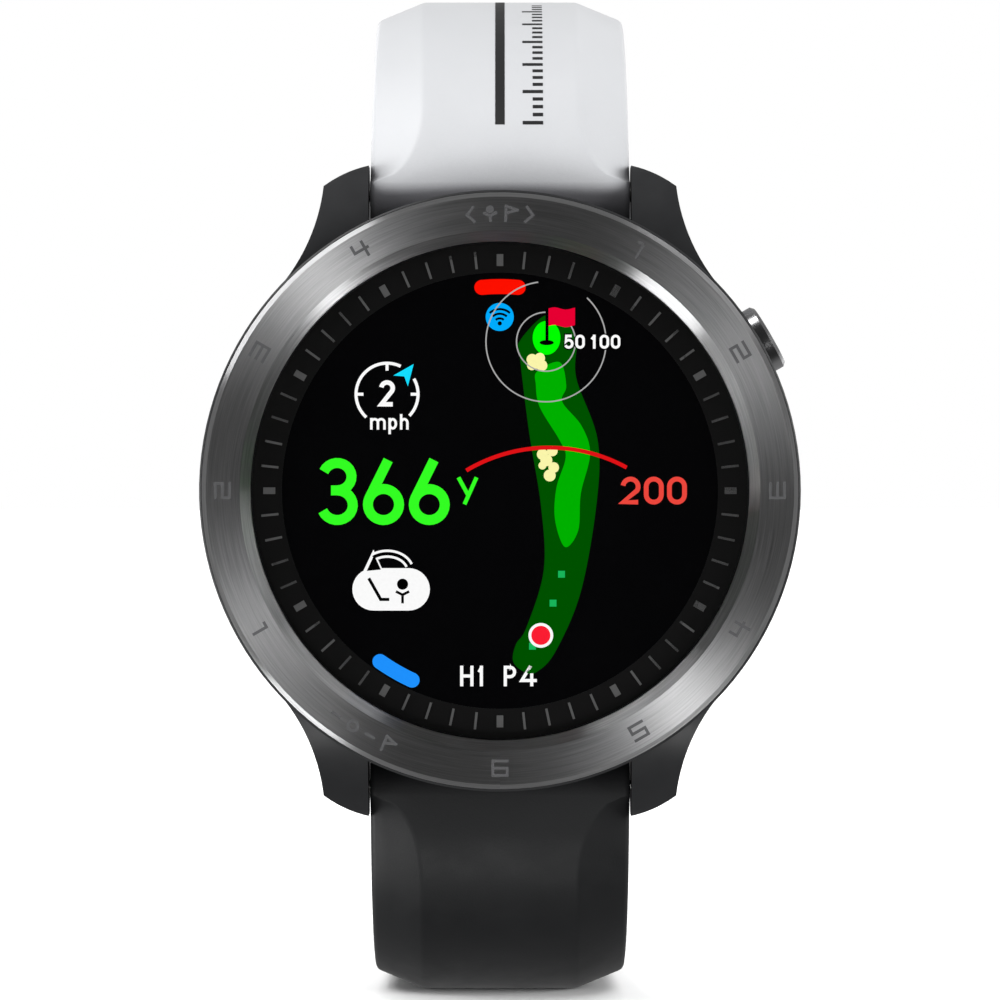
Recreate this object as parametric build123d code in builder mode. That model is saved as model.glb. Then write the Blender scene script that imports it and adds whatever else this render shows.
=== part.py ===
"""Golf GPS watch: a round steel-bezel head on a two-tone rubber strap, open at its buckle.

Millimetres. +X is the dial's 3 o'clock and the push button, +Y runs from the viewer through the
head to the wrist, +Z is 12 o'clock. The watch stands on the flat of its lower strap: the origin is
the middle of that flat, and the dial looks along -Y. Every solid is one piece of the real watch.
"""
import os
from math import atan2, cos, degrees, radians, sin, sqrt, tan

from build123d import *

os.makedirs("parts", exist_ok=True)

# ---------------------------------------------------------------- driving dimensions
dial_height = 38.9          # dial centre above the surface that the strap stands on
front_y = -30.5             # the bezel's front face

lug_gap = 20.0              # standard 20 mm strap
bar_depth = 8.0             # spring bars, behind the bezel's front
bar_height = 22.6           # spring bars, above and below the dial centre
running_gap = 0.05          # radial clearance of everything that turns or slides on a pin

bezel_radius = 22.43
bezel_inner = 18.8
bezel_flat = (19.55, 22.07)   # inner and outer radius of the bezel's flat front
bezel_thick = 1.8
crystal_radius = 18.75
crystal_front = 0.6
crystal_thick = 1.3
view_radius = 16.45         # the part of the display that shows
display_radius = 17.0
display_thick = 1.0
film = 0.05                 # printed layers

case_radius = 22.7
case_back_radius = 21.2
case_back_depth = 11.4
cavity_radius = 17.6
cavity_front = 3.2
shelf_radius = 18.85        # recess that the crystal and its gasket sit in
seat_radius = 17.3          # inner edge of the shelf under the crystal
pocket_height = 19.9        # flat end of the strap's pocket, above the dial centre
pocket_front = 3.4

cover_radius = 20.9
cover_thick = 1.3
screw_circle = 19.3

button_angle = 30.0         # above 3 o'clock
button_depth = 6.2
button_radius = 2.6
button_top = 23.7           # from the dial's axis
button_travel = 0.6

board_front = 4.3
board_thick = 0.8
board_radius = 15.2
board_back = board_front + board_thick

bar_tube_radius = 0.9
bar_tip_radius = 0.5
bar_tip_reach = 11.0        # spring-bar tips, from the middle

facet_slope = tan(radians(22.3))
facet_start = 0.7           # where the strap's side facets begin, along the strap
facet_run = 6.5             # length in which they reach full width
edge_break = 0.5            # chamfer along the strap's wrist side

buckle_inner = 9.4          # half of the buckle's clear width
buckle_outer = 12.0
buckle_thick = 2.2
buckle_drop = 14.0          # from its bar to the inside of its end
buckle_end = 2.6
buckle_bar_radius = 0.75

# ---------------------------------------------------------------- planes and small helpers
dial_axis = Axis((0, front_y, dial_height), (0, 1, 0))
dial_section = Plane(origin=(0, front_y, dial_height), x_dir=(1, 0, 0), z_dir=(0, 0, 1))


def dial_layer(depth):
    """Plane parallel to the dial that faces the viewer, at a depth behind the bezel's front."""
    return Plane(origin=(0, front_y + depth, dial_height), x_dir=(1, 0, 0), z_dir=(0, -1, 0))


def turn(points, mode=Mode.ADD):
    """Turn a closed outline of (radius, depth) points about the dial's axis."""
    with BuildSketch(dial_section) as outline:
        with BuildLine():
            Polyline(*points, close=True)
        make_face()
    revolve(outline.sketch, axis=dial_axis, mode=mode)


def ring(inner, outer, front, back, mode=Mode.ADD):
    """A plain ring about the dial's axis."""
    turn([(inner, front), (outer, front), (outer, back), (inner, back)], mode)


def disc(radius, front, back, mode=Mode.ADD, place=(0, 0)):
    """A disc parallel to the dial, centred at (x, height) from the dial's centre."""
    with BuildSketch(dial_layer(front)) as outline:
        with Locations(place):
            Circle(radius)
    extrude(outline.sketch, amount=front - back, mode=mode)


def slab(width, height, front, back, place=(0, 0), corner=0.4, mode=Mode.ADD):
    """A round-cornered block parallel to the dial, centred at (x, height)."""
    with BuildSketch(dial_layer(front)) as outline:
        with Locations(place):
            RectangleRounded(width, height, corner)
    extrude(outline.sketch, amount=front - back, mode=mode)


def rod(radius, start, end, plane, mode=Mode.ADD):
    """A cylinder along a plane's normal, between two distances from the plane."""
    with BuildSketch(plane.offset(start)) as outline:
        Circle(radius)
    extrude(outline.sketch, amount=end - start, mode=mode)


def collar(inner, outer, start, end, plane, mode=Mode.ADD):
    """A ring along a plane's normal, between two distances from the plane."""
    with BuildSketch(plane.offset(start)) as outline:
        Circle(outer)
        Circle(inner, mode=Mode.SUBTRACT)
    extrude(outline.sketch, amount=end - start, mode=mode)


def coil(radius, wire, start, length, turns, plane):
    """A compression spring wound about a plane's normal."""
    path = Helix(pitch=length / turns, height=length, radius=radius, mode=Mode.PRIVATE)
    path = plane.offset(start).location * path
    with BuildSketch(Plane(origin=path @ 0, z_dir=path % 0)) as section:
        Circle(wire / 2)
    sweep(section.sketch, path=path, is_frenet=True)


def save(builder, name):
    """Label one finished piece and write it out."""
    builder.part.label = name
    export_step(builder.part, f"parts/{name}.step")


def along(stations, distance):
    """Linear reading of (distance, value) stations, held at both ends."""
    if distance <= stations[0][0]:
        return stations[0][1]
    for (low, first), (high, last) in zip(stations, stations[1:]):
        if distance <= high:
            return first + (last - first) * (distance - low) / (high - low)
    return stations[-1][1]


# ---------------------------------------------------------------- markings
glyph_half = 0.54           # numeral's half width and half height, to its stroke's middle
glyph_stroke = 0.22
marking_radius = 20.83
marking_deep = 0.06
hx, hy = glyph_half, glyph_half
glyph_strokes = {
    "1": [((0.1, -hy), (0.1, hy)), ((-0.25, hy), (0.1, hy))],
    "2": [((-hx, hy), (hx, hy)), ((hx, hy), (hx, 0)), ((hx, 0), (-hx, 0)),
          ((-hx, 0), (-hx, -hy)), ((-hx, -hy), (hx, -hy))],
    "3": [((-hx, hy), (hx, hy)), ((-hx, 0), (hx, 0)), ((-hx, -hy), (hx, -hy)),
          ((hx, -hy), (hx, hy))],
    "4": [((-hx, hy), (-hx, 0)), ((-hx, 0), (hx, 0)), ((hx * 0.6, hy), (hx * 0.6, -hy))],
    "5": [((hx, hy), (-hx, hy)), ((-hx, hy), (-hx, 0)), ((-hx, 0), (hx, 0)),
          ((hx, 0), (hx, -hy)), ((hx, -hy), (-hx, -hy))],
    "6": [((hx, hy), (-hx, hy)), ((-hx, hy), (-hx, -hy)), ((-hx, -hy), (hx, -hy)),
          ((hx, -hy), (hx, 0)), ((hx, 0), (-hx, 0))],
    "tee": [((-0.42, 0.02), (0, -0.2)), ((0.42, 0.02), (0, -0.2)), ((0, -0.2), (0, -hy))],
    "flag": [((-0.3, -hy), (-0.3, hy)), ((-0.3, hy), (hx, 0.27)), ((hx, 0.27), (-0.3, 0))],
    "right": [((-0.25, hy), (0.25, 0)), ((0.25, 0), (-0.25, -hy))],
    "left": [((0.25, hy), (-0.25, 0)), ((-0.25, 0), (0.25, -hy))],
    "dash": [((-0.3, 0), (0.3, 0))],
    "hole": [],
}
glyph_rounds = {            # height of the middle, outer radius, inner radius
    "tee": (0.3, 0.3, 0),
    "hole": (0, 0.5, 0.26),
}
# (clock angle, glyphs): the upper half reads from outside, the lower half from inside
bezel_marks = [
    (0, ["left", "tee", "flag", "right"]), (30, ["1"]), (60, ["2"]), (90, ["3"]),
    (120, ["4"]), (150, ["5"]), (180, ["6"]), (210, ["dash", "hole", "dash", "flag"]),
    (240, ["1"]), (270, ["2"]), (300, ["3"]), (330, ["4"]),
]
glyph_step = 4.1            # degrees between the pictures of one group
lower_half = (100, 260)


def stroke(start, end, width):
    """One straight stroke with square ends, for use inside a sketch."""
    run = Vector(*end) - Vector(*start)
    middle = (Vector(*end) + Vector(*start)) * 0.5
    with Locations((middle.X, middle.Y)):
        Rectangle(run.length + width, width, rotation=degrees(atan2(run.Y, run.X)))


def bezel_glyph_plane(clock_angle, flipped):
    """Plane on the bezel's front at a clock angle, its Y axis pointing out, or in if flipped."""
    turned = radians(clock_angle)
    x = marking_radius * sin(turned)
    z = dial_height + marking_radius * cos(turned)
    across = Vector(cos(turned), 0, -sin(turned))
    if flipped:
        across = -across
    return Plane(origin=(x, front_y, z), x_dir=across, z_dir=(0, -1, 0))


with BuildPart() as bezel_markings:
    for clock_angle, names in bezel_marks:
        flipped = lower_half[0] < clock_angle < lower_half[1]
        for index, name in enumerate(names):
            shift = (index - (len(names) - 1) / 2) * glyph_step
            at_angle = clock_angle - shift if flipped else clock_angle + shift
            with BuildSketch(bezel_glyph_plane(at_angle, flipped)) as glyph:
                for start, end in glyph_strokes[name]:
                    stroke(start, end, glyph_stroke)
                if name in glyph_rounds:
                    height, outer, inner = glyph_rounds[name]
                    with Locations((0, height)):
                        Circle(outer)
                        if inner:
                            Circle(inner, mode=Mode.SUBTRACT)
            extrude(glyph.sketch, amount=-marking_deep)
save(bezel_markings, "bezel_markings")

# ---------------------------------------------------------------- bezel, crystal and display
with BuildPart() as bezel:
    turn([(bezel_inner, 0.6), (bezel_flat[0], 0), (bezel_flat[1], 0), (bezel_radius, 0.5),
          (bezel_radius, bezel_thick), (bezel_inner, bezel_thick)])
    add(bezel_markings.part, mode=Mode.SUBTRACT)
save(bezel, "bezel")

crystal_back = crystal_front + crystal_thick
with BuildPart() as crystal:
    turn([(0, crystal_front), (crystal_radius - 0.2, crystal_front),
          (crystal_radius, crystal_front + 0.2),
          (crystal_radius, crystal_back), (0, crystal_back)])
save(crystal, "crystal")

minute_outer = 18.1
minute_inner = 16.8
minute_width = 0.18
hour_outer = 17.85
hour_inner = 16.95
hour_width = 0.5
with BuildPart() as minute_marks:
    with BuildSketch(dial_layer(crystal_back)) as marks:
        for minute in range(60):
            on_hour = minute % 5 == 0
            outer = hour_outer if on_hour else minute_outer
            inner = hour_inner if on_hour else minute_inner
            width = hour_width if on_hour else minute_width
            with PolarLocations((outer + inner) / 2, 1, start_angle=90 - 6 * minute):
                Rectangle(outer - inner, width)
    extrude(marks.sketch, amount=-film)
save(minute_marks, "minute_marks")

film_back = crystal_back + 2 * film
with BuildPart() as border_print:
    ring(view_radius, crystal_radius - 0.05, crystal_back + film, film_back)
save(border_print, "border_print")

gasket_back = film_back + 0.25
with BuildPart() as crystal_gasket:
    ring(17.45, crystal_radius - 0.1, film_back, gasket_back)
save(crystal_gasket, "crystal_gasket")

display_back = film_back + display_thick
with BuildPart() as display_panel:
    disc(display_radius, film_back, display_back)
save(display_panel, "display_panel")

# ---------------------------------------------------------------- mid case with its four lugs
lug_tip_height = 24.8
lug_inner = lug_gap / 2
lug_join = (17.45, 14.5)    # where the lug's hollow flank meets the round case
with BuildPart() as lugs:
    with BuildSketch(dial_layer(2.0)) as lug_plan:
        with BuildLine():
            Polyline(lug_join, (14, 12), (lug_inner, 12), (lug_inner, lug_tip_height))
            ThreePointArc((lug_inner, lug_tip_height), (11.8, 24.15), (13.4, 23.15))
            ThreePointArc((13.4, 23.15), (14.6, 18.6), lug_join)
        make_face()
    extrude(lug_plan.sketch, amount=-10)
    with BuildSketch(Plane(origin=(0, front_y, dial_height), x_dir=(0, 1, 0),
                           z_dir=(1, 0, 0))) as lug_side:
        with BuildLine():
            Line((2.5, 11), (2.5, 14))
            ThreePointArc((2.5, 14), (3.2, 20.0), (5.6, 24.3))
            ThreePointArc((5.6, 24.3), (7.9, 25.3), (10.0, 24.2))
            ThreePointArc((10.0, 24.2), (11.1, 18.5), (11.3, 11))
            Line((11.3, 11), (2.5, 11))
        make_face()
    extrude(lug_side.sketch, amount=30, mode=Mode.INTERSECT)
    mirror(about=Plane.YZ)
    mirror(about=Plane.XY.offset(dial_height))

button_out = Vector(cos(radians(button_angle)), 0, sin(radians(button_angle)))
button_plane = Plane(origin=(0, front_y + button_depth, dial_height), x_dir=(0, 1, 0),
                     z_dir=button_out)
button_floor = 21.7         # bottom of the button's recess, from the dial's axis
spring_floor = 20.2
stem_radius = 0.8
bushing_radius = 1.5

with BuildPart() as mid_case:
    turn([(seat_radius, gasket_back), (shelf_radius, gasket_back), (shelf_radius, bezel_thick),
          (case_radius - 0.15, bezel_thick), (case_radius, bezel_thick + 0.15),
          (case_radius, 8.8), (case_back_radius, case_back_depth),
          (seat_radius, case_back_depth)])
    add(lugs.part)
    disc(seat_radius, bezel_thick, cavity_front, Mode.SUBTRACT)
    disc(cavity_radius, cavity_front, case_back_depth, Mode.SUBTRACT)
    with BuildSketch(dial_layer(pocket_front)) as pocket:
        for side in (1, -1):
            with Locations((0, side * (pocket_height + 4))):
                Rectangle(lug_gap, 8)
    extrude(pocket.sketch, amount=-12, mode=Mode.SUBTRACT)
    for side in (1, -1):
        bar_line = Plane(origin=(0, front_y + bar_depth, dial_height + side * bar_height),
                         x_dir=(0, 1, 0), z_dir=(1, 0, 0))
        reach = bar_tip_reach + 0.2
        rod(bar_tip_radius + running_gap, -reach, reach, bar_line, Mode.SUBTRACT)
    rod(button_radius + 0.15, button_floor, 26, button_plane, Mode.SUBTRACT)
    rod(1.8, spring_floor, 26, button_plane, Mode.SUBTRACT)
    rod(bushing_radius, 16, 26, button_plane, Mode.SUBTRACT)
    ring(18.1, 18.5, case_back_depth - 0.4, case_back_depth, Mode.SUBTRACT)
    with BuildSketch(dial_layer(case_back_depth)) as screw_holes:
        with PolarLocations(screw_circle, 4, start_angle=45):
            Circle(0.62)
    extrude(screw_holes.sketch, amount=3.6, mode=Mode.SUBTRACT)
save(mid_case, "mid_case")

# ---------------------------------------------------------------- push button at 2 o'clock
cap_bottom = button_top - 1.35
with BuildPart() as button_cap:
    rod(button_radius, cap_bottom, button_top, button_plane)
    chamfer(button_cap.faces().sort_by(Axis(button_plane.origin, button_out))[-1].edges(), 0.25)
    rod(1.95, cap_bottom, cap_bottom + 0.5, button_plane, Mode.SUBTRACT)
    rod(0.5, cap_bottom, cap_bottom + 1.0, button_plane, Mode.SUBTRACT)
save(button_cap, "button_cap")

stem_end = 17.0
clip_outer_face = cavity_radius - 0.15
seal_places = (18.5, 19.4)
with BuildPart() as button_stem:
    rod(stem_radius, stem_end, cap_bottom + 0.5, button_plane)
    rod(0.5, cap_bottom + 0.5, cap_bottom + 1.0, button_plane)
    collar(0.5, 1.2, clip_outer_face - 0.25, clip_outer_face, button_plane, Mode.SUBTRACT)
    for place in seal_places:
        collar(0.42, 1.2, place - 0.22, place + 0.22, button_plane, Mode.SUBTRACT)
save(button_stem, "button_stem")

with BuildPart() as button_clip:
    collar(0.5, 1.35, clip_outer_face - 0.25, clip_outer_face, button_plane)
    with BuildSketch(button_plane.offset(clip_outer_face - 0.3)) as clip_mouth:
        with Locations((1.0, 0)):
            Rectangle(1.4, 0.7)
    extrude(clip_mouth.sketch, amount=0.4, mode=Mode.SUBTRACT)
save(button_clip, "button_clip")

with BuildPart() as button_seals:
    for place in seal_places:
        with BuildSketch(Plane(origin=button_plane.offset(place).origin, x_dir=(0, 1, 0),
                               z_dir=button_out.cross(Vector(0, 1, 0)))) as seal_section:
            with Locations((0.62, 0)):
                Circle(0.19)
        revolve(seal_section.sketch, axis=Axis(button_plane.origin, button_out))
save(button_seals, "button_seals")

with BuildPart() as button_bushing:
    collar(stem_radius + running_gap, bushing_radius, cavity_radius + 0.1, spring_floor,
           button_plane)
save(button_bushing, "button_bushing")

switch_face = 15.9
spring_wire = 0.22
with BuildPart() as button_spring:
    coil(1.4, spring_wire, spring_floor + 0.13, cap_bottom + 0.5 - spring_floor - 0.26, 4,
         button_plane)
save(button_spring, "button_spring")

with BuildPart() as side_switch:
    with BuildSketch(button_plane.offset(switch_face - 2.2)) as switch_body:
        Rectangle(1.8, 3.2)
    extrude(switch_body.sketch, amount=2.2)
    rod(0.6, switch_face, stem_end - button_travel - 0.05, button_plane)
save(side_switch, "side_switch")

# ---------------------------------------------------------------- inside the head
chassis_front = display_back + 0.1
chassis_back = chassis_front + 0.7
post_angle = 20
post_circle = 13.6
with BuildPart() as chassis:
    disc(seat_radius - 0.1, chassis_front, chassis_back)
    with BuildSketch(dial_layer(chassis_back)) as posts:
        with PolarLocations(post_circle, 4, start_angle=post_angle):
            Circle(1.3)
    extrude(posts.sketch, amount=chassis_back - board_front)
    with BuildSketch(dial_layer(board_front)) as post_holes:
        with PolarLocations(post_circle, 4, start_angle=post_angle):
            Circle(0.52)
    extrude(post_holes.sketch, amount=board_front - chassis_front - 0.3, mode=Mode.SUBTRACT)
    slab(9, 3.2, chassis_front - 0.1, chassis_back, (0, -16.2), mode=Mode.SUBTRACT)
save(chassis, "chassis")

with BuildPart() as main_board:
    disc(board_radius, board_front, board_back)
    with BuildSketch(dial_layer(board_front)) as board_holes:
        with PolarLocations(post_circle, 4, start_angle=post_angle):
            Circle(0.7)
        with Locations((0, -board_radius)):
            Rectangle(9, 3)
    extrude(board_holes.sketch, amount=-board_thick, mode=Mode.SUBTRACT)
save(main_board, "main_board")

with BuildPart() as board_screws:
    with BuildSketch(dial_layer(board_back)) as screw_heads:
        with PolarLocations(post_circle, 4, start_angle=post_angle):
            Circle(1.0)
    extrude(screw_heads.sketch, amount=-0.45)
    with BuildSketch(dial_layer(board_back)) as screw_shanks:
        with PolarLocations(post_circle, 4, start_angle=post_angle):
            Circle(0.5)
    extrude(screw_shanks.sketch, amount=board_back - chassis_front - 0.5)
save(board_screws, "board_screws")

flex_low = -15.9
with BuildPart() as display_flex:
    slab(6, 1.0, display_back, board_back + 0.2, (0, flex_low), corner=0.1)
    slab(6, 3.4, board_back, board_back + 0.2, (0, flex_low + 1.9), corner=0.1)
save(display_flex, "display_flex")

shield_deep = 1.2
with BuildPart() as board_shields:
    slab(10, 8, board_back, board_back + shield_deep, (-4.6, -3.6))
    slab(7.5, 8, board_back, board_back + shield_deep, (5.4, -3.6))
save(board_shields, "board_shields")

antenna_place = (2.2, 9.6)
with BuildPart() as gps_antenna:
    slab(10, 10, board_back, board_back + 2.5, antenna_place, corner=0.3)
save(gps_antenna, "gps_antenna")

with BuildPart() as antenna_patch:
    slab(8, 8, board_back + 2.5, board_back + 2.55, antenna_place, corner=0.2)
save(antenna_patch, "antenna_patch")

battery_place = (0, -4.0)
battery_front = 6.6
with BuildPart() as battery:
    slab(21, 17, battery_front, 10.7, battery_place, corner=2.5)
    fillet(battery.edges().filter_by(Axis.Y, reverse=True), 0.6)
save(battery, "battery")

with BuildPart() as battery_pad:
    slab(17, 7.4, board_back + shield_deep, battery_front, (0, -3.6), corner=0.5)
save(battery_pad, "battery_pad")

motor_place = (-8.8, 9.1)
motor_radius = 3.9
motor_wall = 0.2
motor_front = board_back
motor_back = motor_front + 2.7
with BuildPart() as motor_can:
    disc(motor_radius, motor_front, motor_back, place=motor_place)
    disc(motor_radius - motor_wall, motor_front + motor_wall, motor_back - motor_wall,
         Mode.SUBTRACT, motor_place)
save(motor_can, "motor_can")

with BuildPart() as motor_shaft:
    disc(0.4, motor_front + motor_wall, motor_back - motor_wall, place=motor_place)
save(motor_shaft, "motor_shaft")

with BuildPart() as motor_rotor:
    with BuildSketch(dial_layer(motor_front + 0.6)) as rotor_plan:
        with Locations(motor_place):
            Circle(3.3)
        with Locations((motor_place[0], motor_place[1] + 2.5)):
            Rectangle(8, 4.6, mode=Mode.SUBTRACT)
        with Locations(motor_place):
            Circle(1.0)
            Circle(0.4 + running_gap, mode=Mode.SUBTRACT)
    extrude(rotor_plan.sketch, amount=-1.5)
save(motor_rotor, "motor_rotor")

# ---------------------------------------------------------------- back of the head
cover_back = case_back_depth + cover_thick
contact_height = -9.0
contact_step = 3.0
contact_radius = 0.85
screw_head_radius = 1.0
with BuildPart() as back_cover:
    turn([(0, case_back_depth), (cover_radius, case_back_depth),
          (cover_radius, case_back_depth + 0.5), (cover_radius - 0.4, cover_back),
          (0, cover_back)])
    slab(13, 3.4, case_back_depth, cover_back, (0, contact_height), 1.6, Mode.SUBTRACT)
    ring(14.2, 14.8, cover_back - 0.2, cover_back, Mode.SUBTRACT)
    with BuildSketch(dial_layer(cover_back)) as head_seats:
        with PolarLocations(screw_circle, 4, start_angle=45):
            Circle(screw_head_radius + 0.05)
    extrude(head_seats.sketch, amount=0.75, mode=Mode.SUBTRACT)
    with BuildSketch(dial_layer(cover_back)) as shank_holes:
        with PolarLocations(screw_circle, 4, start_angle=45):
            Circle(0.65)
    extrude(shank_holes.sketch, amount=cover_thick, mode=Mode.SUBTRACT)
save(back_cover, "back_cover")

with BuildPart() as back_gasket:
    ring(18.12, 18.48, case_back_depth - 0.38, case_back_depth)
save(back_gasket, "back_gasket")

with BuildPart() as back_screws:
    with BuildSketch(dial_layer(cover_back - 0.1)) as heads:
        with PolarLocations(screw_circle, 4, start_angle=45):
            Circle(screw_head_radius)
    extrude(heads.sketch, amount=0.65)
    with BuildSketch(dial_layer(cover_back - 0.75)) as shanks:
        with PolarLocations(screw_circle, 4, start_angle=45):
            Circle(0.6)
    extrude(shanks.sketch, amount=3.6)
    with BuildSketch(dial_layer(cover_back - 0.1)) as slots:
        with PolarLocations(screw_circle, 4, start_angle=45):
            RegularPolygon(0.5, 6)
    extrude(slots.sketch, amount=0.4, mode=Mode.SUBTRACT)
save(back_screws, "back_screws")

contact_row = dial_layer(case_back_depth - 0.3)
with BuildPart() as contact_block:
    slab(13, 3.4, case_back_depth, cover_back - 0.05, (0, contact_height), 1.6)
    with BuildSketch(contact_row) as contact_holes:
        with Locations((0, contact_height)):
            with GridLocations(contact_step, 1, 4, 1):
                Circle(contact_radius)
    extrude(contact_holes.sketch, amount=-2, mode=Mode.SUBTRACT)
save(contact_block, "contact_block")

with BuildPart() as charging_contacts:
    with BuildSketch(contact_row) as contact_plan:
        with Locations((0, contact_height)):
            with GridLocations(contact_step, 1, 4, 1):
                Circle(contact_radius)
    extrude(contact_plan.sketch, amount=-(0.3 + cover_thick))
save(charging_contacts, "charging_contacts")

# ---------------------------------------------------------------- strap routes
# A strap is walked along its outer face, from its spring bar to its free end, in (depth, reach):
# reach is the distance from the dial's centre line, up for the upper strap, down for the lower.
upper_turn = 18.0           # the upper strap leaves its bar leaning back by this
upper_first = 23.4
upper_second = 26.0
upper_centre = (27.7, 15.75)
upper_lean = 65.0
upper_straight = 24.0
upper_legs = [("arc", upper_first, 90 - upper_turn), ("arc", upper_second, upper_lean),
              ("line", upper_straight)]
upper_begin = (upper_centre[0] - upper_first * cos(radians(upper_turn)),
               upper_centre[1] + upper_first * sin(radians(upper_turn)), upper_turn)

foot_length = 24.0
foot_bend = 13.0
tail_bend = 47.0
tail_turn = 62.0
tail_straight = 16.0
foot_cut = 0.08             # taken off under the foot, so that it is truly flat
lower_begin = (bar_depth - 2.52, bar_height, 0)
lower_legs = [("line", dial_height - foot_bend - bar_height + foot_cut),
              ("arc", foot_bend, 90), ("line", foot_length), ("arc", tail_bend, tail_turn),
              ("line", tail_straight)]


def leg_length(leg):
    return leg[1] if leg[0] == "line" else leg[1] * radians(leg[2])


def route_length(legs):
    return sum(leg_length(leg) for leg in legs)


def route_point(begin, legs, distance):
    """Depth, reach and heading (degrees from straight out, turning to the wrist) of the route."""
    depth, reach, heading = begin
    for leg in legs:
        walked = min(distance, leg_length(leg))
        distance -= walked
        if leg[0] == "line":
            depth += walked * sin(radians(heading))
            reach += walked * cos(radians(heading))
        else:
            after = heading + degrees(walked / leg[1])
            depth += leg[1] * (cos(radians(heading)) - cos(radians(after)))
            reach += leg[1] * (sin(radians(after)) - sin(radians(heading)))
            heading = after
        if distance <= 1e-9:
            break
    return depth, reach, heading


def strap_plane(begin, legs, side, distance):
    """Cross-section plane of a strap: X across it, Y from its outer face towards the wrist."""
    depth, reach, heading = route_point(begin, legs, distance)
    origin = (0, front_y + depth, dial_height + side * reach)
    normal = Vector(0, sin(radians(heading)), side * cos(radians(heading))) * side
    return Plane(origin=origin, x_dir=(1, 0, 0), z_dir=normal)


def facet_ridge(half_width, middle, distance):
    """Half width of the flat between the strap's two side facets."""
    left = 1 - (distance - facet_start) / facet_run
    left = min(max(left, 0), 1)
    spread = half_width - 0.3 - middle
    return middle + spread * (1 - sqrt(1 - left * left))


def strap_section(plane, half_width, ridge, thick):
    """One cross-section face: flat crown, two facets, two sides and a chamfered wrist side."""
    drop = (half_width - ridge) * facet_slope
    with BuildSketch(plane) as section:
        with BuildLine():
            Polyline((-ridge, 0), (ridge, 0), (half_width, drop),
                     (half_width, thick - edge_break), (half_width - edge_break, thick),
                     (edge_break - half_width, thick), (-half_width, thick - edge_break),
                     (-half_width, drop), close=True)
        make_face()
    return section.sketch


def strap_stations(legs, spacing=4.0):
    """Distances at which a strap's sections are placed: close together where facets begin."""
    length = route_length(legs)
    stations = [0, 0.7, 1.2, 2.0, 3.0, 4.5, 6.0, 7.5]
    count = round((length - stations[-1]) / spacing)
    step = (length - stations[-1]) / count
    return stations + [stations[-1] + step * (index + 1) for index in range(count)]


upper_length = route_length(upper_legs)
upper_widths = [(0, 9.9), (8, 9.85), (30, 9.7), (54, 9.0)]
upper_thicks = [(0, 4.8), (10, 4.3), (30, 3.8), (56, 3.3)]
upper_ridges = [(0, 5.95), (30, 6.05), (56, 6.6)]
lower_length = route_length(lower_legs)
lower_widths = [(0, 9.9), (8, 9.85), (24, 9.65), (50, 9.05), (70, 9.0)]
lower_thicks = [(0, 4.7), (14, 4.0), (30, 3.6), (70, 3.0), (lower_length, 2.8)]
lower_ridges = [(0, 5.95), (30, 6.0), (70, 6.6)]
knuckle_radius = 2.5


def strap_body(begin, legs, side, widths, thicks, ridges):
    """Loft a strap through its sections and round its end over the spring bar."""
    sections = []
    for distance in strap_stations(legs):
        half_width = along(widths, distance)
        ridge = facet_ridge(half_width, along(ridges, distance), distance)
        plane = strap_plane(begin, legs, side, distance)
        sections.append(strap_section(plane, half_width, ridge, along(thicks, distance)))
    loft(sections[::side])


def bar_plane(side):
    """Plane across a spring bar at the watch's middle, its normal along the bar."""
    return Plane(origin=(0, front_y + bar_depth, dial_height + side * bar_height),
                 x_dir=(0, 1, 0), z_dir=(1, 0, 0))


pin_knob_x = -7.6
knob_radius = 0.45
knob_reach = 3.2            # quick-release knob, from the bar's axis towards the wrist


def bar_seat(side):
    """Cut the strap's tunnel for its spring bar and the window for the release knob."""
    tunnel = bar_plane(side)
    rod(bar_tube_radius + 0.02, -12, 12, tunnel, Mode.SUBTRACT)
    window = Plane(origin=(pin_knob_x + 0.85, front_y + bar_depth,
                           dial_height + side * bar_height), x_dir=(1, 0, 0), z_dir=(0, 1, 0))
    with BuildSketch(window) as window_plan:
        Rectangle(3.4, 1.7)
    extrude(window_plan.sketch, amount=6, mode=Mode.SUBTRACT)


# ---------------------------------------------------------------- lower strap: tail with holes
hole_count = 9
hole_step = 6.5
last_hole_gap = 13.0        # from the tail's tip to the nearest hole
hole_radius = 1.15
tip_radius = 8.0
with BuildPart() as lower_strap:
    strap_body(lower_begin, lower_legs, -1, lower_widths, lower_thicks, lower_ridges)
    rod(knuckle_radius, -9.9, 9.9, bar_plane(-1))
    with BuildSketch(Plane.XY) as under_foot:
        with Locations((0, 20)):
            Rectangle(40, 160)
    extrude(under_foot.sketch, amount=-5, mode=Mode.SUBTRACT)
    bar_seat(-1)
    for index in range(hole_count):
        place = strap_plane(lower_begin, lower_legs, -1,
                            lower_length - last_hole_gap - hole_step * index)
        hole_plane = Plane(origin=place.origin, x_dir=(1, 0, 0), z_dir=place.y_dir)
        rod(hole_radius, -3, 8, hole_plane, Mode.SUBTRACT)
    tip = strap_plane(lower_begin, lower_legs, -1, lower_length)
    tip_face = Plane(origin=tip.origin, x_dir=(1, 0, 0), z_dir=tip.y_dir)
    with BuildSketch(tip_face.offset(-3)) as tip_corners:
        Rectangle(24, 24)
        with Locations((0, 0.05 - 16)):
            RectangleRounded(18.0, 32, tip_radius, mode=Mode.SUBTRACT)
    extrude(tip_corners.sketch, amount=9, mode=Mode.SUBTRACT)
save(lower_strap, "lower_strap")

# ---------------------------------------------------------------- upper strap: buckle side
stripe_x = 0.0
stripe_width = 0.72
stripe_deep = 0.25
stripe_start = 5.6
stripe_end = 58.0
marks_left = 1.75
marks_right = 3.3
mark_wide = 0.32
mark_step = 0.78
mark_count = 24
long_mark_every = 4


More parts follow.
